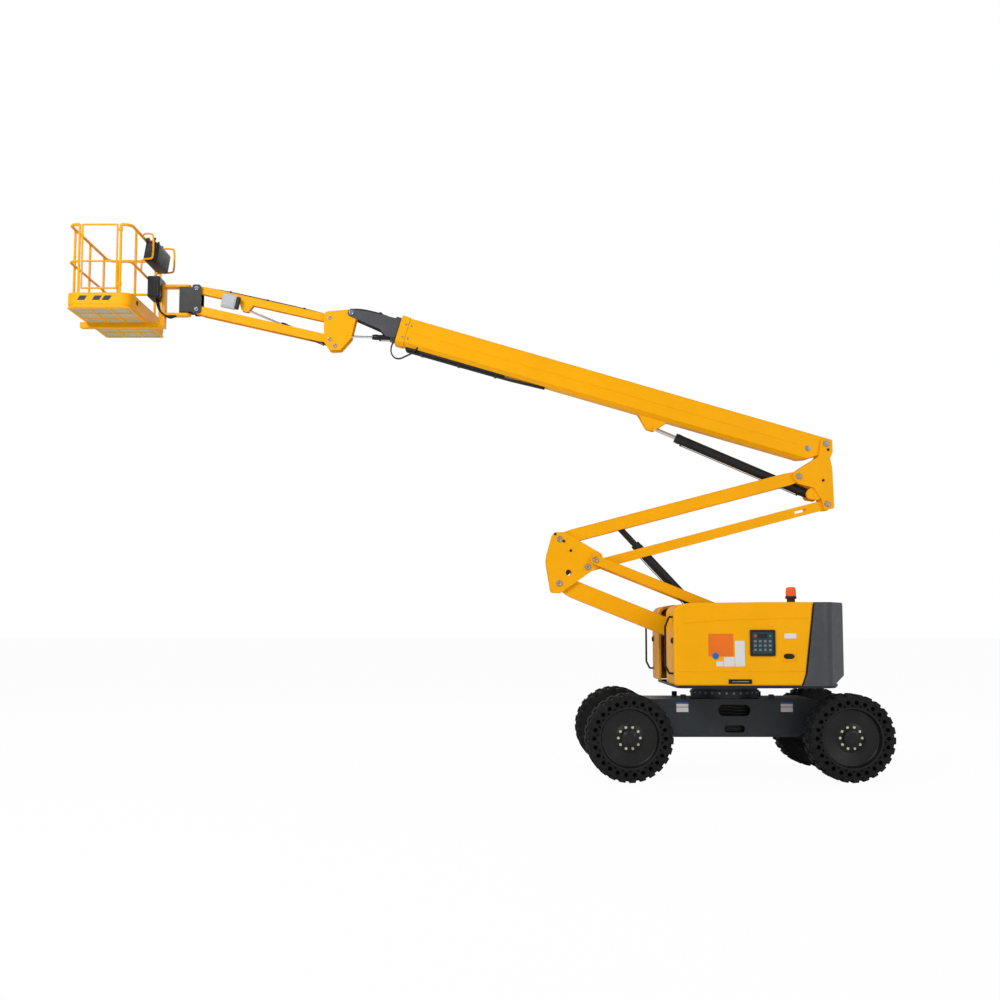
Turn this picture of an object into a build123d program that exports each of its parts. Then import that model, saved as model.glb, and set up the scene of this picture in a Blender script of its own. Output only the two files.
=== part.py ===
from build123d import *
from math import cos, radians, sin, tan
import os

os.makedirs("parts", exist_ok=True)

# Articulating boom lift, in millimetres and degrees, +Z up, tyres on Z = 0.
# The boom points to -X. Plain X values below are counted from the slew axis.

# Running gear
WHEELBASE = 2667.0
OVERALL_WIDTH = 2380.0
TYRE_RADIUS = 529.0
TYRE_WIDTH = 385.0
TYRE_BORE_RADIUS = 355.3
RIM_GAP = 0.3
RIM_WALL = 14.0
RIM_FLANGE_RADIUS = 374.0
SHOULDER_LUGS = 24
LUG_GROOVE_WIDTH = 54.0
LUG_GROOVE_DEPTH = 30.0
HUB_DRUM_RADIUS = 150.0
HUB_CAP_RADIUS = 96.0
SPINDLE_RADIUS = 45.0
RUNNING_FIT = 0.05
AXLE_HALF_HEIGHT = 90.0
AXLE_HALF_LENGTH = 100.0
KINGPIN_Y = 720.0
KINGPIN_RADIUS = 26.0
YOKE_THICKNESS = 24.0

# Chassis
FRAME_HALF_WIDTH = 450.0
FRAME_PLATE = 14.0
FRAME_TOP = 960.0
BELLY_BOTTOM = 490.0
BELLY_HALF_LENGTH = 830.0
FRAME_HALF_LENGTH = 1440.0
SLOT_X = 45.0
RACE_RADIUS = 435.0
RACE_HOLE_RADIUS = 330.0
LOWER_RACE_HEIGHT = 98.0
RACE_GAP = 0.3
LUG_THICKNESS = 25.0
LUG_HOLE_RADIUS = 25.0
LUG_RADIUS = 55.0
LUG_Y = 390.0
END_DROP = 190.0
LUG_Z = FRAME_TOP - END_DROP + 75.0

# Turret
FLOOR_BOTTOM = 1120.0
FLOOR_THICKNESS = 30.0
FLOOR_HALF_WIDTH = 1070.0
FLOOR_FRONT = -740.0
FLOOR_REAR = 1160.0
HOOD_BOTTOM = 1156.0
HOOD_TOP = 2160.0
HOOD_FRONT = -790.0
HOOD_OUTER = 1150.0
HOOD_INNER = 400.0
HOOD_WALL = 28.0
HOOD_REAR_TOP = 905.0
HOOD_REAR_BOTTOM = 745.0
PANEL_GAP = 12.0
BAY_WALL_Y = 366.0
BAY_WALL = 12.0
HINGE_Y = 396.0
HINGE_Z = 2110.0
HINGE_RADIUS = 8.0
HINGE_FIT = 0.1
HINGE_PLACES = (-480.0, 520.0)
COUNTERWEIGHT_BACK = 1450.0
SLOT_HALF_WIDTH = 270.0
SIDE_PLATE_INNER = 208.0
SIDE_PLATE_THICKNESS = 25.0

# Arms: pitches at rest, pins counted from the slew axis
LOWER_PITCH = 22.0
UPPER_PITCH = 14.7
BOOM_PITCH = 16.3
JIB_PITCH = 12.8
ARM_LENGTH = 3200.0
LOWER_ARM_PIN = (843.0, 1221.0)
LINK_OFFSET = (463.0, 298.0)
KNUCKLE_RISE = (6.0, 568.0)
TIE_OFFSET = (360.0, -360.0)
BOOM_PIN_OFFSET = (360.0, 424.0)
LIFT_BASE_OFFSET = (172.0, -230.0)
LOWER_ARM_HALF_HEIGHT = 111.0
LINK_HALF_HEIGHT = 62.0
UPPER_ARM_HALF_HEIGHT = 82.0
TIE_HALF_HEIGHT = 61.0
ARM_HALF_WIDTH = 115.0
ARM_WALL = 8.0
RAIL_INNER = 75.0
PLATE_INNER = 135.0
PLATE_THICKNESS = 20.0
LINK_INNER = 162.0
LINK_THICKNESS = 38.0
SIDE_GAP = 2.0
PIN_RADIUS = 30.0
BOSS_RADIUS = 62.0

# Main boom, measured along it from its pin
BOOM_HALF_WIDTH = 125.0
BOOM_TOP = 78.0
BOOM_BOTTOM = -294.0
BOOM_CHAMFER = 45.0
BOOM_WALL = 8.0
BOOM_TIP = 5750.0
INNER_GAP = 14.0
INNER_TAIL = 700.0
INNER_TIP = 5825.0
NOSE_REACH = 6406.0
NOSE_DROP = -68.0
LIFT_EYE_DROP = -407.0
PAD_GAP = 0.3

# Jib
JIB_LENGTH = 1800.0
JIB_SPACING = 280.0
JIB_OFFSET = (-281.0, -66.0)
JIB_UPPER_INNER = 36.0
JIB_UPPER_OUTER = 52.0
JIB_BAR_INNER = 57.0
JIB_BAR_OUTER = 80.0
JIB_PLATE_INNER = 84.0
JIB_PLATE_THICKNESS = 16.0
FORK_THICKNESS = 16.0
SMALL_PIN_RADIUS = 20.0
BARREL_WALL = 9.0
ROD_EYE_CLEARANCE = 2.0
EYE_WALL = 16.0

# Basket
FLOOR_Z = 5850.0
BASKET_LEFT = -8330.0
BASKET_RIGHT = -7510.0
BASKET_HALF_WIDTH = 900.0
BASKET_CORNER = 130.0
RAIL_TOP = 6930.0
MID_RAIL = 6440.0
RAIL_RADIUS = 19.0
TOE_HEIGHT = 145.0
TOE_WALL = 5.0
POST_RADIUS = 16.0
SEAT_GAP = 0.3
GATE_LEFT = -8180.0
GATE_RIGHT = -7660.0
BEAM_LEFT = -8400.0
ROTATOR_X = -7030.0

WHEEL_Y = OVERALL_WIDTH / 2 - TYRE_WIDTH / 2
RAIL_INSET = TOE_WALL + SEAT_GAP + POST_RADIUS
INNER_SHRINK = BOOM_WALL + INNER_GAP
FORK_INNER = BOOM_HALF_WIDTH - INNER_SHRINK
REAR_END = WHEELBASE / 2 + TYRE_RADIUS
SHIFT_X = -(BEAM_LEFT + REAR_END) / 2


def outline(points):
    """Closed face in the XY plane from (a, b) or (a, b, corner radius) points."""
    corners = []
    count = len(points)
    for i, point in enumerate(points):
        here = Vector(point[0], point[1])
        radius = point[2] if len(point) > 2 else 0.0
        if radius == 0.0:
            corners.append((here, here, here))
            continue
        back = points[i - 1]
        ahead = points[(i + 1) % count]
        u = (Vector(back[0], back[1]) - here).normalized()
        v = (Vector(ahead[0], ahead[1]) - here).normalized()
        half = radians(u.get_angle(v)) / 2
        middle = (u + v).normalized()
        centre = here + middle * (radius / sin(half))
        reach = radius / tan(half)
        corners.append((here + u * reach, centre - middle * radius, here + v * reach))
    edges = []
    for i, (start, middle, end) in enumerate(corners):
        if (end - start).length > 1e-6:
            edges.append(ThreePointArc(start, middle, end))
        following = corners[(i + 1) % count][0]
        if (following - end).length > 1e-6:
            edges.append(Line(end, following))
    return make_face(edges)


def side_slab(points, y0, y1):
    """Extrude an (x, z) outline from y0 to y1."""
    solid = extrude(outline(points), amount=y1 - y0, dir=(0, 0, 1))
    return Plane(origin=(0, y1, 0), x_dir=(1, 0, 0), z_dir=(0, -1, 0)) * solid


def plan_slab(points, z0, z1):
    """Extrude an (x, y) outline from z0 to z1."""
    return Pos(0, 0, z0) * extrude(outline(points), amount=z1 - z0, dir=(0, 0, 1))


def cross_pin(point, radius, y0, y1):
    """Cylinder along Y at an (x, z) point."""
    solid = extrude(Circle(radius), amount=y1 - y0)
    return Plane(origin=(point[0], y1, point[1]), x_dir=(1, 0, 0), z_dir=(0, -1, 0)) * solid


def upright(x, y, radius, z0, z1):
    """Cylinder along Z."""
    return Pos(x, y, z0) * extrude(Circle(radius), amount=z1 - z0)


def box(x0, x1, y0, y1, z0, z1):
    """Block between two corners."""
    centre = Pos((x0 + x1) / 2, (y0 + y1) / 2, (z0 + z1) / 2)
    return centre * Box(x1 - x0, y1 - y0, z1 - z0)


def tube(start, end, radius):
    """Round bar between two 3D points."""
    a = Vector(*start)
    b = Vector(*end)
    return Plane(origin=a, z_dir=b - a) * extrude(Circle(radius), amount=(b - a).length)


def both_sides(solid):
    """The solid and its mirror image across the centre plane."""
    return solid + mirror(solid, about=Plane.XZ)


def shifted(point, offset):
    return (point[0] + offset[0], point[1] + offset[1])


def along(origin, pitch, way, s, n):
    """Point s along and n above a line that rises at pitch towards way (+1 or -1)."""
    c = cos(radians(pitch))
    k = sin(radians(pitch))
    return (origin[0] + way * (s * c - n * k), origin[1] + s * k + n * c)


def arm_points(origin, pitch, way, points):
    """Turn (s, n) or (s, n, radius) points of an arm into (x, z) points."""
    return [(*along(origin, pitch, way, p[0], p[1]), *p[2:]) for p in points]


def save(name, shape):
    """Write one node, moved from the slew axis to the frame of the whole machine."""
    moved = Pos(SHIFT_X, 0, 0) * shape
    moved.label = name
    export_step(moved, f"parts/{name}.step")


# Pins of the arms
KNUCKLE_LOW = along(LOWER_ARM_PIN, LOWER_PITCH, -1, ARM_LENGTH, 0)
LINK_PIN = shifted(LOWER_ARM_PIN, LINK_OFFSET)
KNUCKLE_LINK = shifted(KNUCKLE_LOW, LINK_OFFSET)
KNUCKLE_TOP = shifted(KNUCKLE_LOW, KNUCKLE_RISE)
KNUCKLE_TIE = shifted(KNUCKLE_TOP, TIE_OFFSET)
HEAD_ARM = along(KNUCKLE_TOP, UPPER_PITCH, 1, ARM_LENGTH, 0)
HEAD_TIE = shifted(HEAD_ARM, TIE_OFFSET)
BOOM_PIN = shifted(HEAD_ARM, BOOM_PIN_OFFSET)
LIFT_BASE = shifted(HEAD_ARM, LIFT_BASE_OFFSET)
LIFT_EYE = along(BOOM_PIN, BOOM_PITCH, -1, 2229.0, LIFT_EYE_DROP)
TOWER_BASE = along(LOWER_ARM_PIN, LOWER_PITCH, -1, 1090.0, 189.0)
TOWER_EYE = along(KNUCKLE_TOP, UPPER_PITCH, 1, 768.0, 0)
NOSE_PIN = along(BOOM_PIN, BOOM_PITCH, -1, NOSE_REACH, NOSE_DROP)
JIB_BASE_TOP = shifted(NOSE_PIN, JIB_OFFSET)
JIB_BASE_LOW = shifted(JIB_BASE_TOP, (0.0, -JIB_SPACING))
JIB_HEAD_TOP = along(JIB_BASE_TOP, JIB_PITCH, -1, JIB_LENGTH, 0)
JIB_HEAD_LOW = shifted(JIB_HEAD_TOP, (0.0, -JIB_SPACING))
JIB_CYL_BASE = shifted(JIB_BASE_TOP, (67.0, -366.0))
JIB_CYL_EYE = along(JIB_BASE_TOP, JIB_PITCH, -1, 1122.0, -114.0)
LEVEL_EYE = shifted(NOSE_PIN, (-63.0, -290.0))
LEVEL_BASE = shifted(NOSE_PIN, (827.0, -319.0))


# Wheels and axles
def tyre(x, side):
    """Solid tyre with block lugs on both shoulders."""
    half = TYRE_WIDTH / 2
    profile = outline([
        (TYRE_BORE_RADIUS, -half + 26), (TYRE_BORE_RADIUS + 46, -half),
        (TYRE_RADIUS - 66, -half), (TYRE_RADIUS - 10, -half + 46), (TYRE_RADIUS, -half + 60),
        (TYRE_RADIUS, half - 60), (TYRE_RADIUS - 10, half - 46), (TYRE_RADIUS - 66, half),
        (TYRE_BORE_RADIUS + 46, half), (TYRE_BORE_RADIUS, half - 26),
    ])
    body = revolve(profile, axis=Axis.Y)
    step = 360 / SHOULDER_LUGS
    cuts = []
    for i in range(SHOULDER_LUGS):
        for sign in (-1, 1):
            groove = Pos(TYRE_RADIUS - LUG_GROOVE_DEPTH + 50, sign * half, 0) * Box(
                100, TYRE_WIDTH * 0.44, LUG_GROOVE_WIDTH)
            cuts.append(Rot(0, step * (i + 0.25 * sign), 0) * groove)
    return Pos(x, side * WHEEL_Y, TYRE_RADIUS) * (body - cuts)


def rim(x, side):
    """Dished steel rim with its hub drum and cap, bored for the spindle."""
    half = TYRE_WIDTH / 2
    seat = TYRE_BORE_RADIUS - RIM_GAP
    inner = seat - RIM_WALL
    dish = half - 92
    face = outline([
        (seat, -half + 22), (seat, half - 22), (RIM_FLANGE_RADIUS - 6, half + 1.5),
        (RIM_FLANGE_RADIUS - 22, half + 1.5), (inner, half - 30),
        (inner, dish, 20), (HUB_DRUM_RADIUS + 30, dish - 30),
        (HUB_DRUM_RADIUS - 22, dish - 10), (HUB_CAP_RADIUS, dish - 10),
        (HUB_CAP_RADIUS, dish + 44), (HUB_CAP_RADIUS - 34, dish + 58), (0, dish + 58),
        (0, dish - 50), (SPINDLE_RADIUS + RUNNING_FIT, dish - 50),
        (SPINDLE_RADIUS + RUNNING_FIT, -half + 66), (HUB_DRUM_RADIUS, -half + 66),
        (HUB_DRUM_RADIUS, dish - 62), (inner, dish - 26), (inner, -half + 22),
    ])
    body = revolve(face, axis=Axis.Y)
    if side < 0:
        body = mirror(body, about=Plane.XZ)
    return Pos(x, side * WHEEL_Y, TYRE_RADIUS) * body


def spindle(x, y_start, side, housing_radius):
    """Spindle housing and shaft that carry one wheel."""
    drum_back = WHEEL_Y - TYRE_WIDTH / 2 + 66
    shaft_end = WHEEL_Y + TYRE_WIDTH / 2 - 92 - 60
    housing = cross_pin((x, TYRE_RADIUS), housing_radius, y_start, drum_back - 8)
    shaft = cross_pin((x, TYRE_RADIUS), SPINDLE_RADIUS, drum_back - 20, shaft_end)
    both = housing + shaft
    return both if side > 0 else mirror(both, about=Plane.XZ)


def front_axle():
    """Fixed axle: beam, end housings and spindles."""
    x = -WHEELBASE / 2
    beam_half = 640.0
    beam = box(x - AXLE_HALF_LENGTH, x + AXLE_HALF_LENGTH, -beam_half, beam_half,
               TYRE_RADIUS - AXLE_HALF_HEIGHT, TYRE_RADIUS + AXLE_HALF_HEIGHT)
    beam = fillet(beam.edges().filter_by(Axis.Y), 20)
    return beam + spindle(x, beam_half - 30, 1, 110) + spindle(x, beam_half - 30, -1, 110)


def rear_axle():
    """Steering axle: beam with a fork at each end and the kingpins."""
    x = WHEELBASE / 2
    beam_half = KINGPIN_Y - 95
    beam = box(x - AXLE_HALF_LENGTH, x + AXLE_HALF_LENGTH, -beam_half, beam_half,
               TYRE_RADIUS - AXLE_HALF_HEIGHT, TYRE_RADIUS + AXLE_HALF_HEIGHT)
    beam = fillet(beam.edges().filter_by(Axis.Y), 20)
    low = TYRE_RADIUS - AXLE_HALF_HEIGHT - YOKE_THICKNESS
    high = TYRE_RADIUS + AXLE_HALF_HEIGHT
    fork = [(x - 90, beam_half - 150, 20), (x + 90, beam_half - 150, 20),
            (x + 70, KINGPIN_Y + 66, 60), (x - 70, KINGPIN_Y + 66, 60)]
    ends = plan_slab(fork, low, low + YOKE_THICKNESS)
    ends += plan_slab(fork, high, high + YOKE_THICKNESS)
    ends += upright(x, KINGPIN_Y, KINGPIN_RADIUS, low, high + YOKE_THICKNESS)
    return beam + both_sides(ends)


def steering_knuckle(side):
    """Block that swivels on the kingpin and carries a rear spindle."""
    x = WHEELBASE / 2
    gap = 1.0
    low = TYRE_RADIUS - AXLE_HALF_HEIGHT + gap
    high = TYRE_RADIUS + AXLE_HALF_HEIGHT - gap
    block = upright(x, KINGPIN_Y, 64, low, high) + spindle(x, KINGPIN_Y, 1, AXLE_HALF_HEIGHT - 6)
    knuckle = block - upright(x, KINGPIN_Y, KINGPIN_RADIUS + RUNNING_FIT, low - 50, high + 50)
    return knuckle if side > 0 else mirror(knuckle, about=Plane.XZ)


# Chassis
def frame_outline(inset):
    """Side view of the frame: a belly between two raised ends."""
    end_bottom = TYRE_RADIUS + AXLE_HALF_HEIGHT
    f = FRAME_HALF_LENGTH - inset
    b = BELLY_HALF_LENGTH - inset
    low = BELLY_BOTTOM + inset
    mid = end_bottom + inset
    top = FRAME_TOP - inset
    ramp = BELLY_HALF_LENGTH + 210 - inset
    return [(-b, low, 50), (b, low, 50), (ramp, mid, 60), (f, mid, 30),
            (f, top - END_DROP, 60), (ramp, top, 60), (-ramp, top, 60), (-f, top - END_DROP, 60),
            (-f, mid, 30), (-ramp, mid, 60)]


def slot(x, z, length, height):
    """Round-ended cutter through both side plates."""
    r = height / 2 - 1
    a = length / 2
    b = height / 2
    return side_slab([(x - a, z - b, r), (x + a, z - b, r), (x + a, z + b, r), (x - a, z + b, r)],
                     -FRAME_HALF_WIDTH - 10, FRAME_HALF_WIDTH + 10)


def tie_down_lug(way, side):
    """Upright lashing eye on one end of the frame, with its hole along X."""
    y = side * LUG_Y
    x0, x1 = sorted((way * (FRAME_HALF_LENGTH - LUG_THICKNESS), way * FRAME_HALF_LENGTH))
    plate = box(x0, x1, y - LUG_RADIUS, y + LUG_RADIUS, LUG_Z - 2 * LUG_RADIUS, LUG_Z)
    plate += tube((x0, y, LUG_Z), (x1, y, LUG_Z), LUG_RADIUS)
    return plate - tube((x0 - 10, y, LUG_Z), (x1 + 10, y, LUG_Z), LUG_HOLE_RADIUS)


def chassis_frame():
    """Welded box frame with side slots and four lashing eyes."""
    body = side_slab(frame_outline(0), -FRAME_HALF_WIDTH, FRAME_HALF_WIDTH)
    body -= side_slab(frame_outline(FRAME_PLATE), -FRAME_HALF_WIDTH + FRAME_PLATE,
                      FRAME_HALF_WIDTH - FRAME_PLATE)
    body -= slot(SLOT_X, 820, 400, 142)
    body -= slot(SLOT_X, 590, 260, 90)
    body -= upright(0, 0, RACE_HOLE_RADIUS, FRAME_TOP - 60, FRAME_TOP + 60)
    for way in (-1, 1):
        for side in (-1, 1):
            body += tie_down_lug(way, side)
    return body


def lower_race():
    """Fixed half of the slewing ring."""
    ring = upright(0, 0, RACE_RADIUS, FRAME_TOP, FRAME_TOP + LOWER_RACE_HEIGHT)
    return ring - upright(0, 0, RACE_HOLE_RADIUS, FRAME_TOP - 10, FRAME_TOP + 200)


# Turret
def turntable():
    """Floor plate, upper race and the side plates that hold the arm pins."""
    race_low = FRAME_TOP + LOWER_RACE_HEIGHT + RACE_GAP
    floor_top = FLOOR_BOTTOM + FLOOR_THICKNESS
    body = plan_slab([
        (FLOOR_FRONT, -FLOOR_HALF_WIDTH, 120), (FLOOR_REAR, -FLOOR_HALF_WIDTH, 200),
        (FLOOR_REAR + 200, -400, 200), (FLOOR_REAR + 200, 400, 200),
        (FLOOR_REAR, FLOOR_HALF_WIDTH, 200), (FLOOR_FRONT, FLOOR_HALF_WIDTH, 120),
    ], FLOOR_BOTTOM, floor_top)
    body += upright(0, 0, RACE_RADIUS - 20, race_low, FLOOR_BOTTOM)
    body -= upright(0, 0, RACE_HOLE_RADIUS, race_low - 10, floor_top + 10)
    ax, az = LOWER_ARM_PIN
    bx, bz = LINK_PIN
    plate = side_slab([
        (ax - 420, floor_top), (bx + 50, floor_top), (bx + 75, bz - 30, 30),
        (bx + 60, bz + 75, 60), (bx - 60, bz + 80, 60), (ax - 90, az + 130, 60),
        (ax - 420, floor_top + 60, 20),
    ], SIDE_PLATE_INNER, SIDE_PLATE_INNER + SIDE_PLATE_THICKNESS)
    outer = SIDE_PLATE_INNER + SIDE_PLATE_THICKNESS
    plate += cross_pin(LOWER_ARM_PIN, BOSS_RADIUS, ARM_HALF_WIDTH + SIDE_GAP, SIDE_PLATE_INNER)
    body += both_sides(plate + bay_wall(floor_top))
    body += cross_pin(LOWER_ARM_PIN, PIN_RADIUS, -outer - 12, outer + 12)
    body += cross_pin(LINK_PIN, PIN_RADIUS, -outer - 12, outer + 12)
    return body


def bay_wall(floor_top):
    """Inner wall of the far bay with the hood's hinge brackets and pins."""
    wall = box(-650, 640, BAY_WALL_Y, BAY_WALL_Y + BAY_WALL, floor_top, HINGE_Z - 20)
    for x in HINGE_PLACES:
        for sign in (-1, 1):
            bracket = box(x + sign * 40 - 6, x + sign * 40 + 6, BAY_WALL_Y, HINGE_Y + 10,
                          HINGE_Z - 60, HINGE_Z + HINGE_RADIUS / 2)
            wall += bracket
        wall += end_pin(x - 46, x + 46, HINGE_RADIUS)
    return wall


def counterweight():
    """Cast block behind the hoods, round in plan and at its lower edge."""
    floor_top = FLOOR_BOTTOM + FLOOR_THICKNESS
    front_top = HOOD_REAR_TOP + PANEL_GAP
    front_low = HOOD_REAR_BOTTOM + PANEL_GAP
    back = COUNTERWEIGHT_BACK
    plan = plan_slab([
        (front_low, -HOOD_OUTER), (back - 350, -HOOD_OUTER, 140), (back - 60, -620, 300),
        (back, 0, 900), (back - 60, 620, 300), (back - 350, HOOD_OUTER, 140),
        (front_low, HOOD_OUTER),
    ], floor_top, HOOD_TOP)
    side = side_slab([
        (front_low, floor_top), (back - 300, floor_top, 200), (back - 30, floor_top + 130, 120),
        (back + 10, floor_top + 500, 300), (back + 10, HOOD_TOP - 70, 60), (back - 90, HOOD_TOP, 60),
        (front_top, HOOD_TOP), (front_top - 105, 1300),
    ], -HOOD_OUTER, HOOD_OUTER)
    body = plan & side
    body -= box(front_low - 50, back - 60, -SLOT_HALF_WIDTH, SLOT_HALF_WIDTH,
                floor_top - 10, HOOD_TOP + 10)
    return body


def engine_block():
    """Engine and pump as one closed block in the far bay."""
    z = FLOOR_BOTTOM + FLOOR_THICKNESS
    return box(-520, 480, 520, 1020, z, z + 640)


def fluid_tank():
    """Hydraulic and fuel tank in the near bay."""
    z = FLOOR_BOTTOM + FLOOR_THICKNESS
    tank = box(-500, 300, -1020, -560, z, z + 520)
    return fillet(tank.edges().filter_by(Axis.Z), 60)


def end_pin(x0, x1, radius):
    """Cylinder along X on the far hood's hinge line."""
    return tube((x0, HINGE_Y, HINGE_Z), (x1, HINGE_Y, HINGE_Z), radius)


def hood(side):
    """Hinged hood: front, top and outer walls around an open bay."""
    top = HOOD_TOP
    shell_points = [
        (HOOD_FRONT, HOOD_BOTTOM, 40), (HOOD_REAR_BOTTOM, HOOD_BOTTOM),
        (HOOD_REAR_TOP - 105, 1300), (HOOD_REAR_TOP, top), (300, top), (HOOD_FRONT + 200, top - 12, 60),
        (HOOD_FRONT, top - 50, 110),
    ]
    body = side_slab(shell_points, HOOD_INNER, HOOD_OUTER)
    w = HOOD_WALL
    bay_points = [
        (HOOD_FRONT + w, HOOD_BOTTOM - 50), (HOOD_REAR_TOP + 60, HOOD_BOTTOM - 50),
        (HOOD_REAR_TOP + 60, top - w), (300, top - w), (HOOD_FRONT + 200, top - 12 - w, 60),
        (HOOD_FRONT + w, top - 50 - w, 90),
    ]
    body = fillet(body.edges().group_by(Axis.Y)[-1].filter_by(lambda e: e.center().Z > 1400), 26)
    body -= side_slab(bay_points, HOOD_INNER - 10, HOOD_OUTER - w)
    for x in HINGE_PLACES:
        lug = box(x - 30, x + 30, HINGE_Y - 7, HINGE_Y + 14, HINGE_Z, top - w)
        lug += end_pin(x - 30, x + 30, HINGE_RADIUS + 6)
        body += lug - end_pin(x - 40, x + 40, HINGE_RADIUS + HINGE_FIT)
    return body if side > 0 else mirror(body, about=Plane.XZ)


def grab_handle(side):
    """Bent tube on the front of a hood."""
    y = side * (HOOD_OUTER - 90)
    x = HOOD_FRONT
    points = [(x, y, 1980), (x - 50, y, 1980), (x - 95, y, 1860), (x - 95, y, 1390),
              (x - 50, y, 1300), (x, y, 1300)]
    path = FilletPolyline(*points, radius=28)
    return sweep(Plane(origin=path @ 0, z_dir=path % 0) * Circle(13), path=path)


def control_panel():
    """Ground control box on the near hood."""
    z = 1510.0
    y = -HOOD_OUTER
    frame = box(125, 430, y - 14, y, z, z + 315)
    frame = fillet(frame.edges().filter_by(Axis.Y), 16)
    return frame - box(150, 405, y - 20, y - 8, z + 25, z + 290)


def beacon():
    """Amber warning lamp on its foot."""
    foot = upright(700, -820, 46, HOOD_TOP, HOOD_TOP + 24)
    stem = upright(700, -820, 30, HOOD_TOP + 24, HOOD_TOP + 46)
    base = upright(700, -820, 66, HOOD_TOP + 46, HOOD_TOP + 76)
    lens = upright(700, -820, 60, HOOD_TOP + 76, HOOD_TOP + 190)
    lens = fillet(lens.edges().group_by(Axis.Z)[-1], 30)
    return foot + stem + base + lens


# Riser arms
def lower_arm():
    """Box arm between the turret and the knuckle, with the tower cylinder's ears."""
    h = LOWER_ARM_HALF_HEIGHT
    w = ARM_HALF_WIDTH
    root = BOSS_RADIUS
    points = [(-root, -root, 56), (40, -root), (270, -h), (ARM_LENGTH - 200, -h),
              (ARM_LENGTH + root - 8, -h * 0.55, 50), (ARM_LENGTH + root - 8, h * 0.55, 50),
              (ARM_LENGTH - 200, h), (270, h), (40, root), (-root, root, 56)]
    hollow = [(280, -h + ARM_WALL), (ARM_LENGTH - 210, -h + ARM_WALL),
              (ARM_LENGTH - 210, h - ARM_WALL), (280, h - ARM_WALL)]
    body = side_slab(arm_points(LOWER_ARM_PIN, LOWER_PITCH, -1, points), -w, w)
    body -= side_slab(arm_points(LOWER_ARM_PIN, LOWER_PITCH, -1, hollow), -w + ARM_WALL, w - ARM_WALL)
    ears = side_slab(arm_points(LOWER_ARM_PIN, LOWER_PITCH, -1, [
        (930, h - 4), (1035, 235, 45), (1145, 235, 45), (1250, h - 4)]), 66, 84)
    body += both_sides(ears) + cross_pin(TOWER_BASE, SMALL_PIN_RADIUS + 5, -90, 90)
    knuckle_half = PLATE_INNER - SIDE_GAP
    body += cross_pin(KNUCKLE_LOW, BOSS_RADIUS, -knuckle_half, knuckle_half)
    for pin in (LOWER_ARM_PIN, KNUCKLE_LOW):
        body -= cross_pin(pin, PIN_RADIUS + RUNNING_FIT, -300, 300)
    return body


def lower_link():
    """Two flat bars beside the arm, joined by a cross tube near each end."""
    h = LINK_HALF_HEIGHT
    bar = side_slab(arm_points(LINK_PIN, LOWER_PITCH, -1, [
        (-h, -h, 58), (ARM_LENGTH + h, -h, 58), (ARM_LENGTH + h, h, 58), (-h, h, 58)]),
        LINK_INNER, LINK_INNER + LINK_THICKNESS)
    for pin in (LINK_PIN, KNUCKLE_LINK):
        bar -= cross_pin(pin, PIN_RADIUS + RUNNING_FIT, 0, 300)
    brace = along(LINK_PIN, LOWER_PITCH, -1, 420.0, 0)
    return both_sides(bar) + cross_pin(brace, 34, -LINK_INNER - 4, LINK_INNER + 4)


def knuckle():
    """Left-hand pair of plates with their pins and spacer tubes."""
    x, z = KNUCKLE_LOW
    t = KNUCKLE_TOP
    k = KNUCKLE_LINK
    plate = side_slab([
        (x - 105, z - 120, 40), (x + 20, z - 125, 20), (k[0] - 60, k[1] - 155, 60),
        (k[0] + 105, k[1] - 65, 50), (k[0] + 90, k[1] + 75, 40), (t[0] + 60, t[1] + 90, 60),
        (t[0] - 85, t[1] + 85, 60), (x - 175, (z + t[1]) / 2 + 20, 400),
    ], PLATE_INNER, PLATE_INNER + PLATE_THICKNESS)
    outer = PLATE_INNER + PLATE_THICKNESS
    body = both_sides(plate)
    body -= cross_pin((x + 120, z + 135), 38, -200, 200)
    for pin in (KNUCKLE_LOW, KNUCKLE_TOP, KNUCKLE_TIE):
        body += cross_pin(pin, PIN_RADIUS, -outer - 12, outer + 12)
    body += both_sides(cross_pin(KNUCKLE_LINK, PIN_RADIUS, PLATE_INNER - 4,
                                 LINK_INNER + LINK_THICKNESS + 14))
    body += cross_pin((x - 60, (z + t[1]) / 2), 32, -PLATE_INNER, PLATE_INNER)
    return body


def upper_arm():
    """Twin-rail arm, open in the middle where the boom's lift cylinder passes."""
    h = UPPER_ARM_HALF_HEIGHT
    w = ARM_HALF_WIDTH
    place = (KNUCKLE_TOP, UPPER_PITCH, 1)
    rail = side_slab(arm_points(*place, [
        (-60, -h * 0.7, 50), (150, -h), (ARM_LENGTH - 150, -h), (ARM_LENGTH + 70, -h * 0.75, 58),
        (ARM_LENGTH + 70, h * 0.75, 58), (ARM_LENGTH - 150, h), (150, h), (-60, h * 0.7, 50)]),
        RAIL_INNER, w)
    plates = side_slab(arm_points(*place, [
        (150, h - ARM_WALL), (520, h - ARM_WALL), (520, h), (150, h)]), -RAIL_INNER, RAIL_INNER)
    plates += side_slab(arm_points(*place, [
        (150, -h), (520, -h), (520, -h + ARM_WALL), (150, -h + ARM_WALL)]), -RAIL_INNER, RAIL_INNER)
    body = both_sides(rail) + plates
    body += cross_pin(along(*place, 1300, 0), 30, -RAIL_INNER - 4, RAIL_INNER + 4)
    body += cross_pin(KNUCKLE_TOP, BOSS_RADIUS, -PLATE_INNER + SIDE_GAP, PLATE_INNER - SIDE_GAP)
    body += both_sides(cross_pin(HEAD_ARM, BOSS_RADIUS, RAIL_INNER, PLATE_INNER - SIDE_GAP))
    for pin in (KNUCKLE_TOP, HEAD_ARM):
        body -= cross_pin(pin, PIN_RADIUS + RUNNING_FIT, -300, 300)
    stub = cross_pin(TOWER_EYE, SMALL_PIN_RADIUS + 5, 46, RAIL_INNER + 4)
    return body + both_sides(stub)


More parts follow.
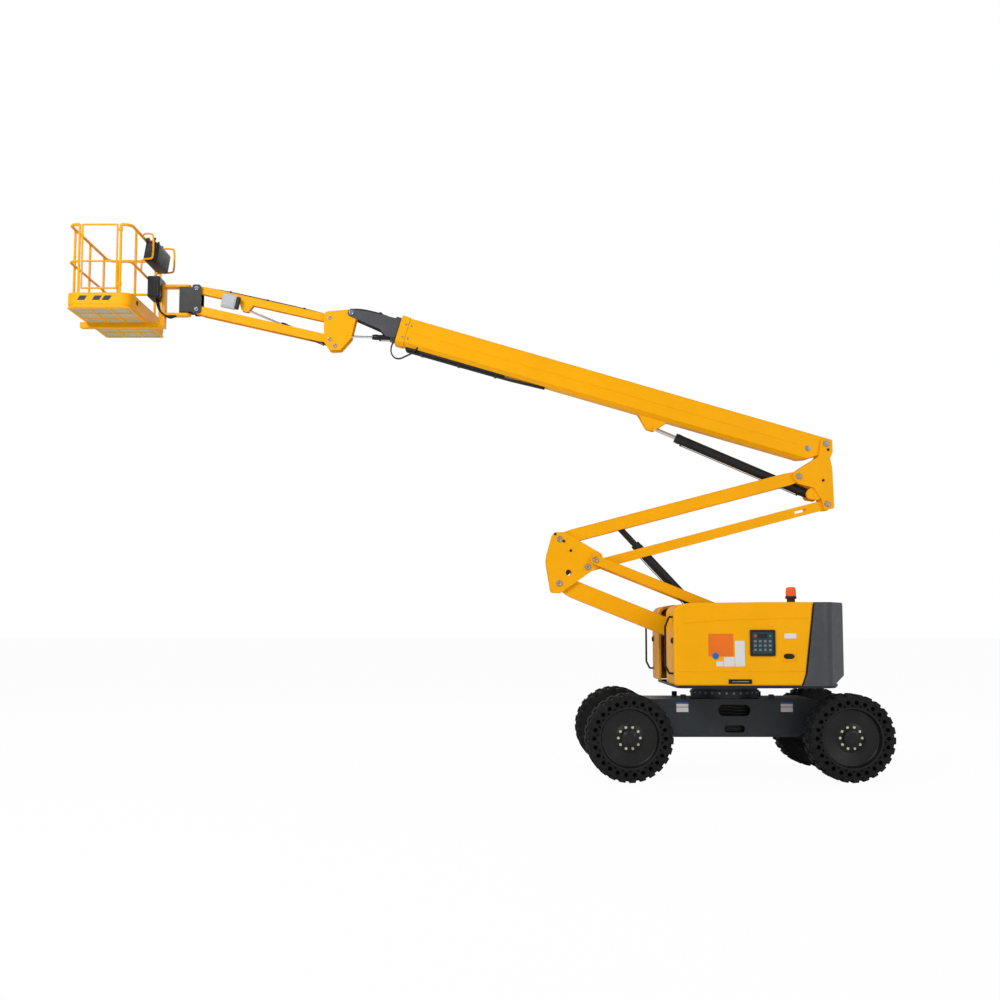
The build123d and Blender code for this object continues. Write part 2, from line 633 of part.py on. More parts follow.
def upper_tie():
    """Twin-rail tie below the upper arm."""
    h = TIE_HALF_HEIGHT
    place = (KNUCKLE_TIE, UPPER_PITCH, 1)
    rail = side_slab(arm_points(*place, [
        (-h, -h, 56), (ARM_LENGTH + h, -h, 56), (ARM_LENGTH + h, h, 56), (-h, h, 56)]),
        RAIL_INNER, RAIL_INNER + 30)
    rail -= side_slab(arm_points(*place, [
        (ARM_LENGTH - 430, -18, 16), (ARM_LENGTH - 270, -18, 16), (ARM_LENGTH - 270, 18, 16),
        (ARM_LENGTH - 430, 18, 16)]), RAIL_INNER - 5, RAIL_INNER + 35)
    body = both_sides(rail)
    for pin in (KNUCKLE_TIE, HEAD_TIE):
        body += cross_pin(pin, TIE_HALF_HEIGHT - 6, -PLATE_INNER + SIDE_GAP, PLATE_INNER - SIDE_GAP)
        body -= cross_pin(pin, PIN_RADIUS + RUNNING_FIT, -300, 300)
    return body


def head():
    """Right-hand pair of plates that carry the boom and its lift cylinder."""
    a = HEAD_ARM
    t = HEAD_TIE
    b = BOOM_PIN
    plate = side_slab([
        (b[0] - 60, b[1] + 60, 30), (b[0] + 82, b[1] + 50, 20), (b[0] + 85, b[1] - 110, 30),
        (b[0] + 50, b[1] - 190, 40), (b[0] + 75, b[1] - 320, 40), (t[0] + 90, t[1] - 60, 30),
        (t[0] - 40, t[1] - 80, 40), (t[0] - 70, t[1] + 60, 60), (a[0] + 190, a[1] - 150, 60),
        (a[0] - 20, a[1] - 95, 60), (a[0] - 95, a[1] + 20, 60), (a[0] + 60, a[1] + 130, 60),
        (b[0] - 100, b[1] - 170, 60),
    ], PLATE_INNER, PLATE_INNER + PLATE_THICKNESS)
    outer = PLATE_INNER + PLATE_THICKNESS
    body = both_sides(plate)
    stub = cross_pin(HEAD_ARM, PIN_RADIUS, RAIL_INNER + 2, outer + 12)
    body += both_sides(stub)
    for pin in (HEAD_TIE, BOOM_PIN):
        body += cross_pin(pin, PIN_RADIUS, -outer - 12, outer + 12)
    c = LIFT_BASE
    bracket = side_slab([
        (c[0] - 75, c[1] + 40, 50), (c[0] - 60, c[1] - 60, 50), (c[0] + 70, c[1] - 80, 40),
        (c[0] + 190, c[1]), (c[0] + 190, c[1] + 120), (c[0] + 30, c[1] + 110, 60)],
        ARM_HALF_WIDTH + SIDE_GAP, PLATE_INNER)
    body += both_sides(bracket) + cross_pin(c, PIN_RADIUS, -PLATE_INNER, PLATE_INNER)
    body += cross_pin((b[0] + 20, b[1] - 400), 32, -PLATE_INNER, PLATE_INNER)
    ribs = cross_pin(LIFT_BASE, 70, 68, 88) + cross_pin(LIFT_BASE, 45, 88, PLATE_INNER)
    return body + both_sides(ribs)


# Main boom
def boom_section(shrink):
    """Half-octagon section of the boom in (y, n): flat top, chamfered bottom."""
    w = BOOM_HALF_WIDTH - shrink
    top = BOOM_TOP - shrink
    low = BOOM_BOTTOM + shrink
    c = BOOM_CHAMFER
    return [(-w, top, 14), (-w, low + c), (-w + c, low), (w - c, low), (w, low + c), (w, top, 14)]


def boom_bar(shrink, s0, s1):
    """Straight length of the boom's section between s0 and s1."""
    c = cos(radians(BOOM_PITCH))
    k = sin(radians(BOOM_PITCH))
    x, z = along(BOOM_PIN, BOOM_PITCH, -1, s0, 0)
    plane = Plane(origin=(x, 0, z), x_dir=(0, -1, 0), z_dir=(-c, 0, k))
    return plane * extrude(outline(boom_section(shrink)), amount=s1 - s0, dir=(0, 0, 1))


def outer_boom():
    """Outer boom section with its tail, tip collar and cylinder bracket."""
    place = (BOOM_PIN, BOOM_PITCH, -1)
    body = boom_bar(0, -75, BOOM_TIP)
    body += boom_bar(-9, BOOM_TIP - 110, BOOM_TIP)
    body -= boom_bar(BOOM_WALL, 330, BOOM_TIP + 10)
    body += boom_bar(BOOM_WALL, BOOM_TIP - 180, BOOM_TIP - 40) - boom_bar(
        INNER_SHRINK - PAD_GAP, BOOM_TIP - 190, BOOM_TIP - 30)
    body -= side_slab(arm_points(*place, [
        (-90, -70, 0.0), (-90, BOOM_BOTTOM - 20), (330, BOOM_BOTTOM - 20), (180, -250, 60)]), -200, 200)
    ears = side_slab(arm_points(*place, [
        (2040, BOOM_BOTTOM + 4), (2180, LIFT_EYE_DROP - 46, 44), (2278, LIFT_EYE_DROP - 46, 44),
        (2440, BOOM_BOTTOM + 4)]), 52, 70)
    ears += cross_pin(LIFT_EYE, SMALL_PIN_RADIUS + 8, 50, 78)
    body += both_sides(ears)
    return body - cross_pin(BOOM_PIN, PIN_RADIUS + RUNNING_FIT, -300, 300)


def cable_tray():
    """Black tray under the outer boom for the hoses."""
    place = (BOOM_PIN, BOOM_PITCH, -1)
    return side_slab(arm_points(*place, [
        (4250, BOOM_BOTTOM), (4250, BOOM_BOTTOM - 26, 8), (5600, BOOM_BOTTOM - 34, 8),
        (5600, BOOM_BOTTOM)]), -70, 70)


def inner_boom():
    """Sliding boom section, open at both ends, with the levelling cylinder's pin."""
    body = boom_bar(INNER_SHRINK, INNER_TAIL, INNER_TIP)
    body -= boom_bar(INNER_SHRINK + BOOM_WALL, INNER_TAIL - 10, INNER_TIP + 10)
    half = BOOM_HALF_WIDTH - INNER_SHRINK
    return body + cross_pin(LEVEL_BASE, SMALL_PIN_RADIUS, -half, half)


def boom_fork():
    """Grey nose casting that carries the jib pin."""
    place = (BOOM_PIN, BOOM_PITCH, -1)
    low = BOOM_BOTTOM + INNER_SHRINK
    start = BOOM_TIP + 12
    cheek = side_slab(arm_points(*place, [
        (start, 30, 20), (start, low + 50, 30), (start + 120, low + 30, 40),
        (start + 230, -170, 60), (NOSE_REACH - 60, -122, 40), (NOSE_REACH + 45, NOSE_DROP - 45, 40),
        (NOSE_REACH + 45, NOSE_DROP + 42, 40), (NOSE_REACH - 200, 10, 60)]),
        FORK_INNER, FORK_INNER + FORK_THICKNESS)
    body = both_sides(cheek)
    brace = along(*place, INNER_TIP + 180, -30)
    body += cross_pin(brace, 26, -FORK_INNER, FORK_INNER)
    pin_half = FORK_INNER + FORK_THICKNESS + 12
    body += cross_pin(NOSE_PIN, SMALL_PIN_RADIUS + 5, -pin_half, pin_half)
    return body


# Jib
def jib_base():
    """Level plates between the boom's nose and the jib."""
    n = NOSE_PIN
    t = JIB_BASE_TOP
    low = JIB_BASE_LOW
    e = LEVEL_EYE
    plate = side_slab([
        (n[0] + 60, n[1] - 60, 40), (n[0] + 40, n[1] + 55, 30), (t[0] - 70, t[1] + 85, 40),
        (t[0] - 80, t[1] - 60, 40), (low[0] - 75, low[1] - 40, 30), (JIB_CYL_BASE[0] - 70,
         JIB_CYL_BASE[1] - 62, 40), (JIB_CYL_BASE[0] + 75, JIB_CYL_BASE[1] - 55, 40),
        (e[0] + 60, e[1] - 40, 40)],
        JIB_PLATE_INNER, JIB_PLATE_INNER + JIB_PLATE_THICKNESS)
    outer = JIB_PLATE_INNER + JIB_PLATE_THICKNESS
    body = both_sides(plate)
    for pin in (JIB_BASE_TOP, JIB_CYL_BASE):
        body += cross_pin(pin, SMALL_PIN_RADIUS, -outer - 6, outer + 6)
    body += both_sides(cross_pin(JIB_BASE_LOW, SMALL_PIN_RADIUS, JIB_BAR_INNER - 4, outer + 6))
    body += cross_pin(NOSE_PIN, 52, -FORK_INNER + SIDE_GAP, FORK_INNER - SIDE_GAP)
    body -= cross_pin(NOSE_PIN, SMALL_PIN_RADIUS + 5 + RUNNING_FIT, -300, 300)
    body += both_sides(cross_pin(LEVEL_EYE, SMALL_PIN_RADIUS, 34, outer + 6))
    return body


def jib_bars(origin, half_height, inner, outer):
    """Pair of jib bars between a base pin and a head pin, rounded at both ends."""
    h = half_height
    end = 40.0
    taper = 120.0
    bar = side_slab(arm_points(origin, JIB_PITCH, -1, [
        (-end, -end, 34), (taper, -h), (JIB_LENGTH - taper, -h), (JIB_LENGTH + end, -end, 34),
        (JIB_LENGTH + end, end, 34), (JIB_LENGTH - taper, h), (taper, h), (-end, end, 34)]),
        inner, outer)
    return both_sides(bar)


def jib_bores(body, pins):
    """Bore both bars for their pins."""
    for pin in pins:
        body -= cross_pin(pin, SMALL_PIN_RADIUS + RUNNING_FIT, -300, 300)
    return body


def jib_upper_bar():
    """Inner pair of bars with the jib cylinder's ears below them."""
    h = 50.0
    body = jib_bars(JIB_BASE_TOP, h, JIB_UPPER_INNER, JIB_UPPER_OUTER)
    ears = side_slab(arm_points(JIB_BASE_TOP, JIB_PITCH, -1, [
        (1030, -h + 4), (1080, -152, 34), (1164, -152, 34), (1220, -h + 4)]),
        JIB_UPPER_INNER, JIB_UPPER_OUTER)
    ears += cross_pin(JIB_CYL_EYE, SMALL_PIN_RADIUS, 27, JIB_UPPER_OUTER + 3)
    body += both_sides(ears)
    for s in (260.0, 1500.0):
        body += cross_pin(along(JIB_BASE_TOP, JIB_PITCH, -1, s, 0), 18, -40, 40)
    for pin in (JIB_BASE_TOP, JIB_HEAD_TOP):
        body += both_sides(cross_pin(pin, 38, JIB_UPPER_OUTER, JIB_PLATE_INNER - SIDE_GAP))
    return jib_bores(body, (JIB_BASE_TOP, JIB_HEAD_TOP))


def jib_lower_bars():
    """Outer pair of lower bars joined by a cross tube at the head."""
    body = jib_bars(JIB_BASE_LOW, 56.0, JIB_BAR_INNER, JIB_BAR_OUTER)
    body += cross_pin(JIB_HEAD_LOW, 38, -JIB_BAR_INNER, JIB_BAR_INNER)
    return jib_bores(body, (JIB_BASE_LOW, JIB_HEAD_LOW))


def jib_head():
    """Plates at the jib's end with the rotary actuator."""
    t = JIB_HEAD_TOP
    low = JIB_HEAD_LOW
    x = ROTATOR_X
    step_x = x + 106
    plate = side_slab([
        (t[0] + 60, t[1] + 50, 40), (step_x, t[1] + 50, 30), (step_x, t[1] + 14), (x - 60, t[1] + 14, 10),
        (x - 60, low[1] - 34, 10), (step_x, low[1] - 34), (step_x, low[1] - 55, 20),
        (low[0] + 60, low[1] - 55, 40)],
        JIB_PLATE_INNER, JIB_PLATE_INNER + 14)
    body = both_sides(plate)
    body += upright(x, 0, JIB_PLATE_INNER, low[1] - 40, t[1] + 20)
    body += box(x - 40, x + 40, -JIB_PLATE_INNER, JIB_PLATE_INNER, low[1] - 34, t[1] + 14)
    outer = JIB_PLATE_INNER + 14
    for pin in (JIB_HEAD_TOP, JIB_HEAD_LOW):
        body += cross_pin(pin, SMALL_PIN_RADIUS, -outer - 6, outer + 6)
    return body - upright(x, 0, 30 + RUNNING_FIT, low[1] - 200, t[1] + 200)


# Basket
def basket_support():
    """Bracket that swings on the rotary actuator and carries the basket floor."""
    low = JIB_HEAD_LOW[1] - 40
    high = JIB_HEAD_TOP[1] + 20
    x = ROTATOR_X
    body = upright(x, 0, 30, low - 30, high + 30)
    body += plan_slab([(x + 70, -80, 60), (x + 70, 80, 60), (x - 300, 80, 20), (x - 300, -80, 20)],
                      low - 34, low - 4)
    body += plan_slab([(x + 70, -80, 60), (x + 70, 80, 60), (x - 300, 80, 20), (x - 300, -80, 20)],
                      high + 4, high + 34)
    body += box(x - 300, x - 262, -80, 80, low - 34, high + 34)
    body += box(BEAM_LEFT, x - 262, -60, 60, FLOOR_Z - 75, FLOOR_Z - 5)
    body += box(x - 330, x - 262, -60, 60, FLOOR_Z - 75, low)
    return body


def rounded_ring(inset, z0, z1, thickness):
    """Thin upright wall around the basket's outline."""
    outer = basket_points(inset)
    inner = basket_points(inset + thickness)
    return plan_slab(outer, z0, z1) - plan_slab(inner, z0 - 1, z1 + 1)


def basket_points(inset):
    r = BASKET_CORNER - inset
    return [(BASKET_LEFT + inset, -BASKET_HALF_WIDTH + inset, r),
            (BASKET_RIGHT - inset, -BASKET_HALF_WIDTH + inset, r),
            (BASKET_RIGHT - inset, BASKET_HALF_WIDTH - inset, r),
            (BASKET_LEFT + inset, BASKET_HALF_WIDTH - inset, r)]


def basket_floor():
    """Floor: a mesh panel on a grid of flat bars."""
    body = rounded_ring(6, FLOOR_Z, FLOOR_Z + 40, 30)
    body += plan_slab(basket_points(20), FLOOR_Z + 34, FLOOR_Z + 40)
    for i in range(1, 4):
        y = -BASKET_HALF_WIDTH + i * BASKET_HALF_WIDTH / 2
        body += box(BASKET_LEFT + 30, BASKET_RIGHT - 30, y - 15, y + 15, FLOOR_Z - 5, FLOOR_Z + 35)
    return body


def toe_board():
    """Kick board around the floor."""
    return rounded_ring(0, FLOOR_Z + 40, FLOOR_Z + 40 + TOE_HEIGHT, TOE_WALL)


def rail_loop(z, radius):
    """Round tube along the basket's outline, open at the gate."""
    path = Wire(outline(basket_points(RAIL_INSET)).edges()).moved(Location((0, 0, z)))
    loop = sweep(Plane(origin=path @ 0, z_dir=path % 0) * Circle(radius), path=path)
    return loop - box(GATE_LEFT, GATE_RIGHT, -BASKET_HALF_WIDTH - 50, -BASKET_HALF_WIDTH + 100,
                      z - 50, z + 50)


def basket_rails():
    """Guard rails: two loops on upright posts."""
    body = rail_loop(RAIL_TOP - RAIL_RADIUS, RAIL_RADIUS)
    body += rail_loop(MID_RAIL, POST_RADIUS)
    x0 = BASKET_LEFT + RAIL_INSET
    x1 = BASKET_RIGHT - RAIL_INSET
    y1 = BASKET_HALF_WIDTH - RAIL_INSET
    posts = [(x0, 640), (x0, 0), (x0, -640), (x1, 640), (x1, -640)]
    posts += [(x, side * y1) for x in (GATE_LEFT, GATE_RIGHT) for side in (-1, 1)]
    for x, y in posts:
        body += upright(x, y, POST_RADIUS, FLOOR_Z + 40, RAIL_TOP - RAIL_RADIUS)
    return body


def basket_gate():
    """Entry gate between two near posts, hung on the right-hand one."""
    y = -BASKET_HALF_WIDTH + RAIL_INSET
    left = GATE_LEFT + POST_RADIUS + 20
    right = GATE_RIGHT - POST_RADIUS - 28
    top = RAIL_TOP - RAIL_RADIUS
    low = FLOOR_Z + 40 + TOE_HEIGHT + 60
    body = upright(left, y, 12, low, top) + upright(right, y, 12, low, top)
    for z in (low, MID_RAIL, top):
        body += tube((left, y, z), (right, y, z), 12)
    for z in (low + 40, top - 80):
        sleeve = upright(GATE_RIGHT, y, POST_RADIUS + 7, z, z + 40)
        sleeve += box(right, GATE_RIGHT, y - 5, y + 5, z, z + 40)
        body += sleeve - upright(GATE_RIGHT, y, POST_RADIUS + RUNNING_FIT, z - 10, z + 50)
    return body


def platform_console():
    """Operator's control box hung outside the rail next to the jib."""
    x = BASKET_RIGHT
    body = box(x + 45, x + 335, -330, 330, 6460, 6850)
    body = fillet(body.edges().filter_by(Axis.Y), 30)
    rail_face = x - RAIL_INSET + RAIL_RADIUS + SEAT_GAP
    for y in (-200, 200):
        body += box(rail_face, x + 60, y - 25, y + 25, RAIL_TOP - 2 * RAIL_RADIUS - 80, RAIL_TOP)
    return body


# Cylinders
def cylinder(base, eye, barrel_length, barrel_radius, rod_radius, base_pin, eye_half, eye_pin, closing):
    """Barrel and rod between two pins; closing is how far the rod can still slide in."""
    a = Vector(base[0], 0, base[1])
    b = Vector(eye[0], 0, eye[1])
    span = (b - a).length
    plane = Plane(origin=a, z_dir=b - a)
    base_half = barrel_radius - SIDE_GAP
    back = base_pin + EYE_WALL - 4
    floor = back + 22
    gland = 60.0

    barrel = plane * Pos(0, 0, back) * extrude(Circle(barrel_radius), amount=barrel_length - back)
    barrel += cross_pin(base, base_pin + EYE_WALL, -base_half, base_half)
    hollow = extrude(Circle(barrel_radius - BARREL_WALL), amount=barrel_length - floor - gland)
    barrel -= plane * Pos(0, 0, floor) * hollow
    throat = extrude(Circle(rod_radius + RUNNING_FIT), amount=barrel_length)
    barrel -= plane * Pos(0, 0, floor) * throat
    barrel -= cross_pin(base, base_pin + RUNNING_FIT, -base_half - 10, base_half + 10)

    tail = floor + closing + 3
    rod = plane * Pos(0, 0, tail) * extrude(Circle(rod_radius), amount=span - tail - eye_pin - 4)
    rod += cross_pin(eye, eye_pin + EYE_WALL, -eye_half, eye_half)
    rod -= cross_pin(eye, eye_pin + ROD_EYE_CLEARANCE, -eye_half - 10, eye_half + 10)
    return barrel, rod


# Nodes of the chassis and its wheels
save("chassis_frame", chassis_frame())
save("slew_ring", lower_race())
save("front_axle", front_axle())
save("rear_axle", rear_axle())
for side, side_name in ((-1, "near"), (1, "far")):
    save(f"steering_knuckle_{side_name}", steering_knuckle(side))
    for x, end_name in ((-WHEELBASE / 2, "front"), (WHEELBASE / 2, "rear")):
        save(f"tyre_{end_name}_{side_name}", tyre(x, side))
        save(f"rim_{end_name}_{side_name}", rim(x, side))

# Nodes of the turret
save("turntable", turntable())
save("counterweight", counterweight())
save("engine_block", engine_block())
save("fluid_tank", fluid_tank())
save("control_panel", control_panel())
save("beacon", beacon())
for side, side_name in ((-1, "near"), (1, "far")):
    save(f"hood_{side_name}", hood(side))
    save(f"grab_handle_{side_name}", grab_handle(side))

# Nodes of the riser
save("lower_arm", lower_arm())
save("lower_link", lower_link())
save("knuckle", knuckle())
save("upper_arm", upper_arm())
save("upper_tie", upper_tie())
save("head", head())

# Nodes of the boom and jib
save("outer_boom", outer_boom())
save("cable_tray", cable_tray())
save("inner_boom", inner_boom())
save("boom_fork", boom_fork())
save("jib_base", jib_base())
save("jib_upper_bar", jib_upper_bar())
save("jib_lower_bars", jib_lower_bars())
save("jib_head", jib_head())

# Nodes of the basket
save("basket_support", basket_support())
save("basket_floor", basket_floor())
save("toe_board", toe_board())
save("basket_rails", basket_rails())
save("basket_gate", basket_gate())
save("platform_console", platform_console())

# Nodes of the cylinders
TOWER_PIN_RADIUS = SMALL_PIN_RADIUS + 5
LIFT_PIN_RADIUS = SMALL_PIN_RADIUS + 2
CYLINDERS = {
    "tower": (TOWER_BASE, TOWER_EYE, 1530.0, 60.0, 40.0, TOWER_PIN_RADIUS, 40.0, TOWER_PIN_RADIUS, 297.0),
    "lift": (LIFT_BASE, LIFT_EYE, 1900.0, 62.0, 26.0, PIN_RADIUS, 44.0, LIFT_PIN_RADIUS, 167.0),
    "jib": (JIB_CYL_BASE, JIB_CYL_EYE, 780.0, 31.0, 16.0, SMALL_PIN_RADIUS, 22.0, SMALL_PIN_RADIUS, 366.0),
    "level": (LEVEL_BASE, LEVEL_EYE, 560.0, 34.0, 17.0, SMALL_PIN_RADIUS, 24.0, SMALL_PIN_RADIUS, 260.0),
}
for name, sizes in CYLINDERS.items():
    barrel, rod = cylinder(*sizes)
    save(f"{name}_barrel", barrel)
    save(f"{name}_rod", rod)
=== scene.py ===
import logging
from dataclasses import dataclass, field
from enum import Enum
from math import cos, pi, radians, sin, tau

import bmesh
import bpy
from mathutils import Matrix, Vector


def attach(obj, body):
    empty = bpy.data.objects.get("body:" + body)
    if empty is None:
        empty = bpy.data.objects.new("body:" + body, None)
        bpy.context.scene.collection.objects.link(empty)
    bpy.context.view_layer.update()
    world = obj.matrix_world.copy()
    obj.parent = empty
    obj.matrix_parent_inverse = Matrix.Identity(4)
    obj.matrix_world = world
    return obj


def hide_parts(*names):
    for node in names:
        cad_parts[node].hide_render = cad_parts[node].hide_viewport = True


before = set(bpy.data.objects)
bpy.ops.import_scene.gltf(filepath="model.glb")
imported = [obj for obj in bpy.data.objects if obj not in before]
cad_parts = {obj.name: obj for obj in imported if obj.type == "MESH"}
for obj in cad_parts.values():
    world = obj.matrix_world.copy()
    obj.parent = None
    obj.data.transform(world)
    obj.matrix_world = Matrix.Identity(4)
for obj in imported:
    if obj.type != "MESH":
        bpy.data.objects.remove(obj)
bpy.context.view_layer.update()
log = logging.getLogger("boom_lift")

Point = tuple[float, float, float]
Colour = tuple[float, float, float]
Piece = bpy.types.Object
Tree = bpy.types.NodeTree
Socket = bpy.types.NodeSocket

ACROSS = Vector((0, 1, 0))
UP = Vector((0, 0, 1))
FLAT = 0.99
SLEEVE_SIDES = 32
DUST_COLOUR: Colour = (0.42, 0.40, 0.36)

SLEW_X = 3.26875
TYRE_RADIUS = 0.529
WHEEL_Y = 0.9975
WHEEL_HALF_WIDTH = 0.1925
FRONT_X = SLEW_X - 1.3335
REAR_X = SLEW_X + 1.3335
HOOD_Y = 1.150
FRAME_Y = 0.450


class Side(Enum):
    """Side of the machine, with the sign of its Y."""

    NEAR = -1
    FAR = 1

    @property
    def word(self) -> str:
        """Name used in piece and body names."""
        return self.name.lower()

    @property
    def out(self) -> Vector:
        """Direction away from the machine's middle."""
        return Vector((0, self.value, 0))


class Grain(Enum):
    """Kind of fine relief a finish shows."""

    SPRAYED = "sprayed"
    CAST = "cast"
    RUBBER = "rubber"
    POLISHED = "polished"
    MOULDED = "moulded"


@dataclass(frozen=True)
class Finish:
    """One procedural finish: a colour that wanders, fine relief and uneven gloss."""

    name: str
    slot: str
    colour: Colour
    roughness: float
    grain: Grain
    metallic: float = 0.0
    wander: float = 0.06
    dust: float = 0.0
    coat: float = 0.0
    sheen: float = 0.35

    def shade(self, share: float) -> tuple[float, float, float, float]:
        """Return the colour scaled by share.

        Args:
            share: factor on each channel.

        Returns:
            Red, green, blue and alpha.
        """
        return (*(min(channel * share, 1.0) for channel in self.colour), 1.0)

    def build(self) -> bpy.types.Material:
        """Make the node material, or return it if it is there already.

        Returns:
            The material.
        """
        found = bpy.data.materials.get(self.name)
        if found:
            return found
        material = bpy.data.materials.new(self.name)
        material.use_nodes = True
        tree = material.node_tree
        shader = tree.nodes["Principled BSDF"]
        preset(shader, {"Metallic": self.metallic, "Coat Weight": self.coat,
                        "Specular IOR Level": self.sheen, "Coat Roughness": 0.12})
        place = tree.nodes.new("ShaderNodeTexCoord").outputs["Object"]
        self.wire_colour(tree, shader, place)
        self.wire_relief(tree, shader, place)
        return material

    def wire_colour(self, tree: Tree, shader: bpy.types.Node,
                    place: Socket) -> None:
        """Link the wandering colour, its dust and the gloss.

        Args:
            tree: the material's nodes.
            shader: its principled shader.
            place: object coordinates.
        """
        cloud = noise(tree, place, 1.7, 4.0, 0.6)
        ramp = tree.nodes.new("ShaderNodeValToRGB")
        ramp.color_ramp.elements[0].position = 0.35
        ramp.color_ramp.elements[0].color = self.shade(1 - self.wander)
        ramp.color_ramp.elements[1].position = 0.65
        ramp.color_ramp.elements[1].color = self.shade(1 + self.wander)
        tree.links.new(cloud, ramp.inputs["Fac"])
        colour = ramp.outputs["Color"]
        if self.dust:
            patches = noise(tree, place, 5.0, 6.0, 0.7)
            fade = tree.nodes.new("ShaderNodeMapRange")
            preset(fade, {"From Min": 0.48, "From Max": 0.75, "To Max": self.dust})
            tree.links.new(patches, fade.inputs["Value"])
            mix = tree.nodes.new("ShaderNodeMix")
            mix.data_type = "RGBA"
            mix.inputs["B"].default_value = (*DUST_COLOUR, 1.0)
            tree.links.new(fade.outputs["Result"], mix.inputs["Factor"])
            tree.links.new(colour, mix.inputs["A"])
            colour = mix.outputs["Result"]
        tree.links.new(colour, shader.inputs["Base Color"])
        gloss = tree.nodes.new("ShaderNodeMapRange")
        preset(gloss, {"To Min": max(self.roughness - 0.07, 0.03),
                       "To Max": min(self.roughness + 0.09, 1.0)})
        tree.links.new(noise(tree, place, 9.0, 3.0, 0.5), gloss.inputs["Value"])
        tree.links.new(gloss.outputs["Result"], shader.inputs["Roughness"])

    def wire_relief(self, tree: Tree, shader: bpy.types.Node,
                    place: Socket) -> None:
        """Link the fine relief of the finish's grain.

        Args:
            tree: the material's nodes.
            shader: its principled shader.
            place: object coordinates.
        """
        scale, detail, strength, depth = {
            Grain.SPRAYED: (190.0, 2.0, 0.05, 0.0004),
            Grain.CAST: (110.0, 6.0, 0.45, 0.0015),
            Grain.RUBBER: (70.0, 8.0, 0.60, 0.0020),
            Grain.POLISHED: (420.0, 2.0, 0.04, 0.0002),
            Grain.MOULDED: (600.0, 3.0, 0.25, 0.0005),
        }[self.grain]
        bump = tree.nodes.new("ShaderNodeBump")
        preset(bump, {"Strength": strength, "Distance": depth})
        tree.links.new(noise(tree, place, scale, detail, 0.6), bump.inputs["Height"])
        tree.links.new(bump.outputs["Normal"], shader.inputs["Normal"])


def preset(node: bpy.types.Node, values: dict[str, object]) -> None:
    """Set inputs of a node.

    Args:
        node: the node.
        values: value of each input, by its name.
    """
    for name, value in values.items():
        node.inputs[name].default_value = value


def noise(tree: Tree, place: Socket, scale: float,
          detail: float, rough: float) -> Socket:
    """Add a noise texture on object coordinates.

    Args:
        tree: the material's nodes.
        place: object coordinates.
        scale: waves per metre.
        detail: octaves.
        rough: weight of the finer octaves.

    Returns:
        The noise value.
    """
    node = tree.nodes.new("ShaderNodeTexNoise")
    preset(node, {"Scale": scale, "Detail": detail, "Roughness": rough})
    tree.links.new(place, node.inputs["Vector"])
    return node.outputs["Fac"]


YELLOW = Finish("yellow_enamel", "yellow_paint", (0.965, 0.425, 0.0), 0.40, Grain.SPRAYED,
                wander=0.025, coat=0.05, sheen=0.12)
SLATE = Finish("slate_enamel", "slate_paint", (0.027, 0.032, 0.038), 0.42, Grain.SPRAYED, dust=0.03)
GREY = Finish("grey_enamel", "grey_paint", (0.060, 0.064, 0.070), 0.45, Grain.SPRAYED, dust=0.04)
CASTING = Finish("cast_weight_enamel", "cast_weight", (0.050, 0.055, 0.062), 0.40, Grain.CAST,
                 dust=0.04, sheen=0.5)
BLACK = Finish("black_enamel", "black_paint", (0.0055, 0.0055, 0.0060), 0.38, Grain.SPRAYED, dust=0.02)
CHROME = Finish("hard_chrome", "chrome_rod", (0.70, 0.72, 0.75), 0.16, Grain.POLISHED, metallic=1.0)
PIN_STEEL = Finish("zinc_pin", "chrome_rod", (0.30, 0.35, 0.42), 0.34, Grain.CAST, metallic=0.8)
NUT_STEEL = Finish("zinc_nut", "chrome_rod", (0.74, 0.71, 0.60), 0.42, Grain.CAST, metallic=0.4)
RUBBER = Finish("tyre_rubber_black", "tyre_rubber", (0.0075, 0.0075, 0.008), 0.72, Grain.RUBBER,
                wander=0.15, dust=0.02, sheen=0.22)
# Painted shade: near-black and matt with no specular, for the flat discs that stand in for the shade inside
# the tyre's sidewall hollows.
HOLLOW_SHADE = Finish("sidewall_hollow", "tyre_rubber", (0.0015, 0.0015, 0.0015), 0.95, Grain.RUBBER, sheen=0.0)
HOSE = Finish("hose_rubber", "black_plastic", (0.007, 0.007, 0.008), 0.5, Grain.MOULDED)
PLASTIC = Finish("moulded_black", "black_plastic", (0.009, 0.0095, 0.011), 0.5, Grain.MOULDED, dust=0.03)
AMBER = Finish("amber_dome", "amber_lens", (0.90, 0.13, 0.004), 0.18, Grain.POLISHED, coat=0.6)
MESH_STEEL = Finish("mesh_steel", "floor_steel", (0.80, 0.72, 0.46), 0.5, Grain.CAST, dust=0.05)
PALE_GREY = Finish("pale_box_enamel", "grey_paint", (0.46, 0.48, 0.50), 0.45, Grain.SPRAYED, dust=0.05)
WHITE = Finish("white_film", "black_plastic", (0.74, 0.74, 0.73), 0.4, Grain.POLISHED, wander=0.03)
KEY_GREY = Finish("key_grey", "black_plastic", (0.20, 0.21, 0.22), 0.5, Grain.MOULDED)
ORANGE = Finish("orange_film", "black_plastic", (0.86, 0.17, 0.006), 0.4, Grain.POLISHED, wander=0.05)
BLUE = Finish("blue_film", "black_plastic", (0.015, 0.15, 0.46), 0.4, Grain.POLISHED, wander=0.03)
RED = Finish("red_button", "black_plastic", (0.62, 0.015, 0.010), 0.3, Grain.POLISHED, coat=0.5)
GREEN = Finish("green_button", "black_plastic", (0.02, 0.30, 0.07), 0.3, Grain.POLISHED, coat=0.5)
SCREEN = Finish("dark_glass", "black_plastic", (0.012, 0.05, 0.055), 0.12, Grain.POLISHED, coat=0.7)

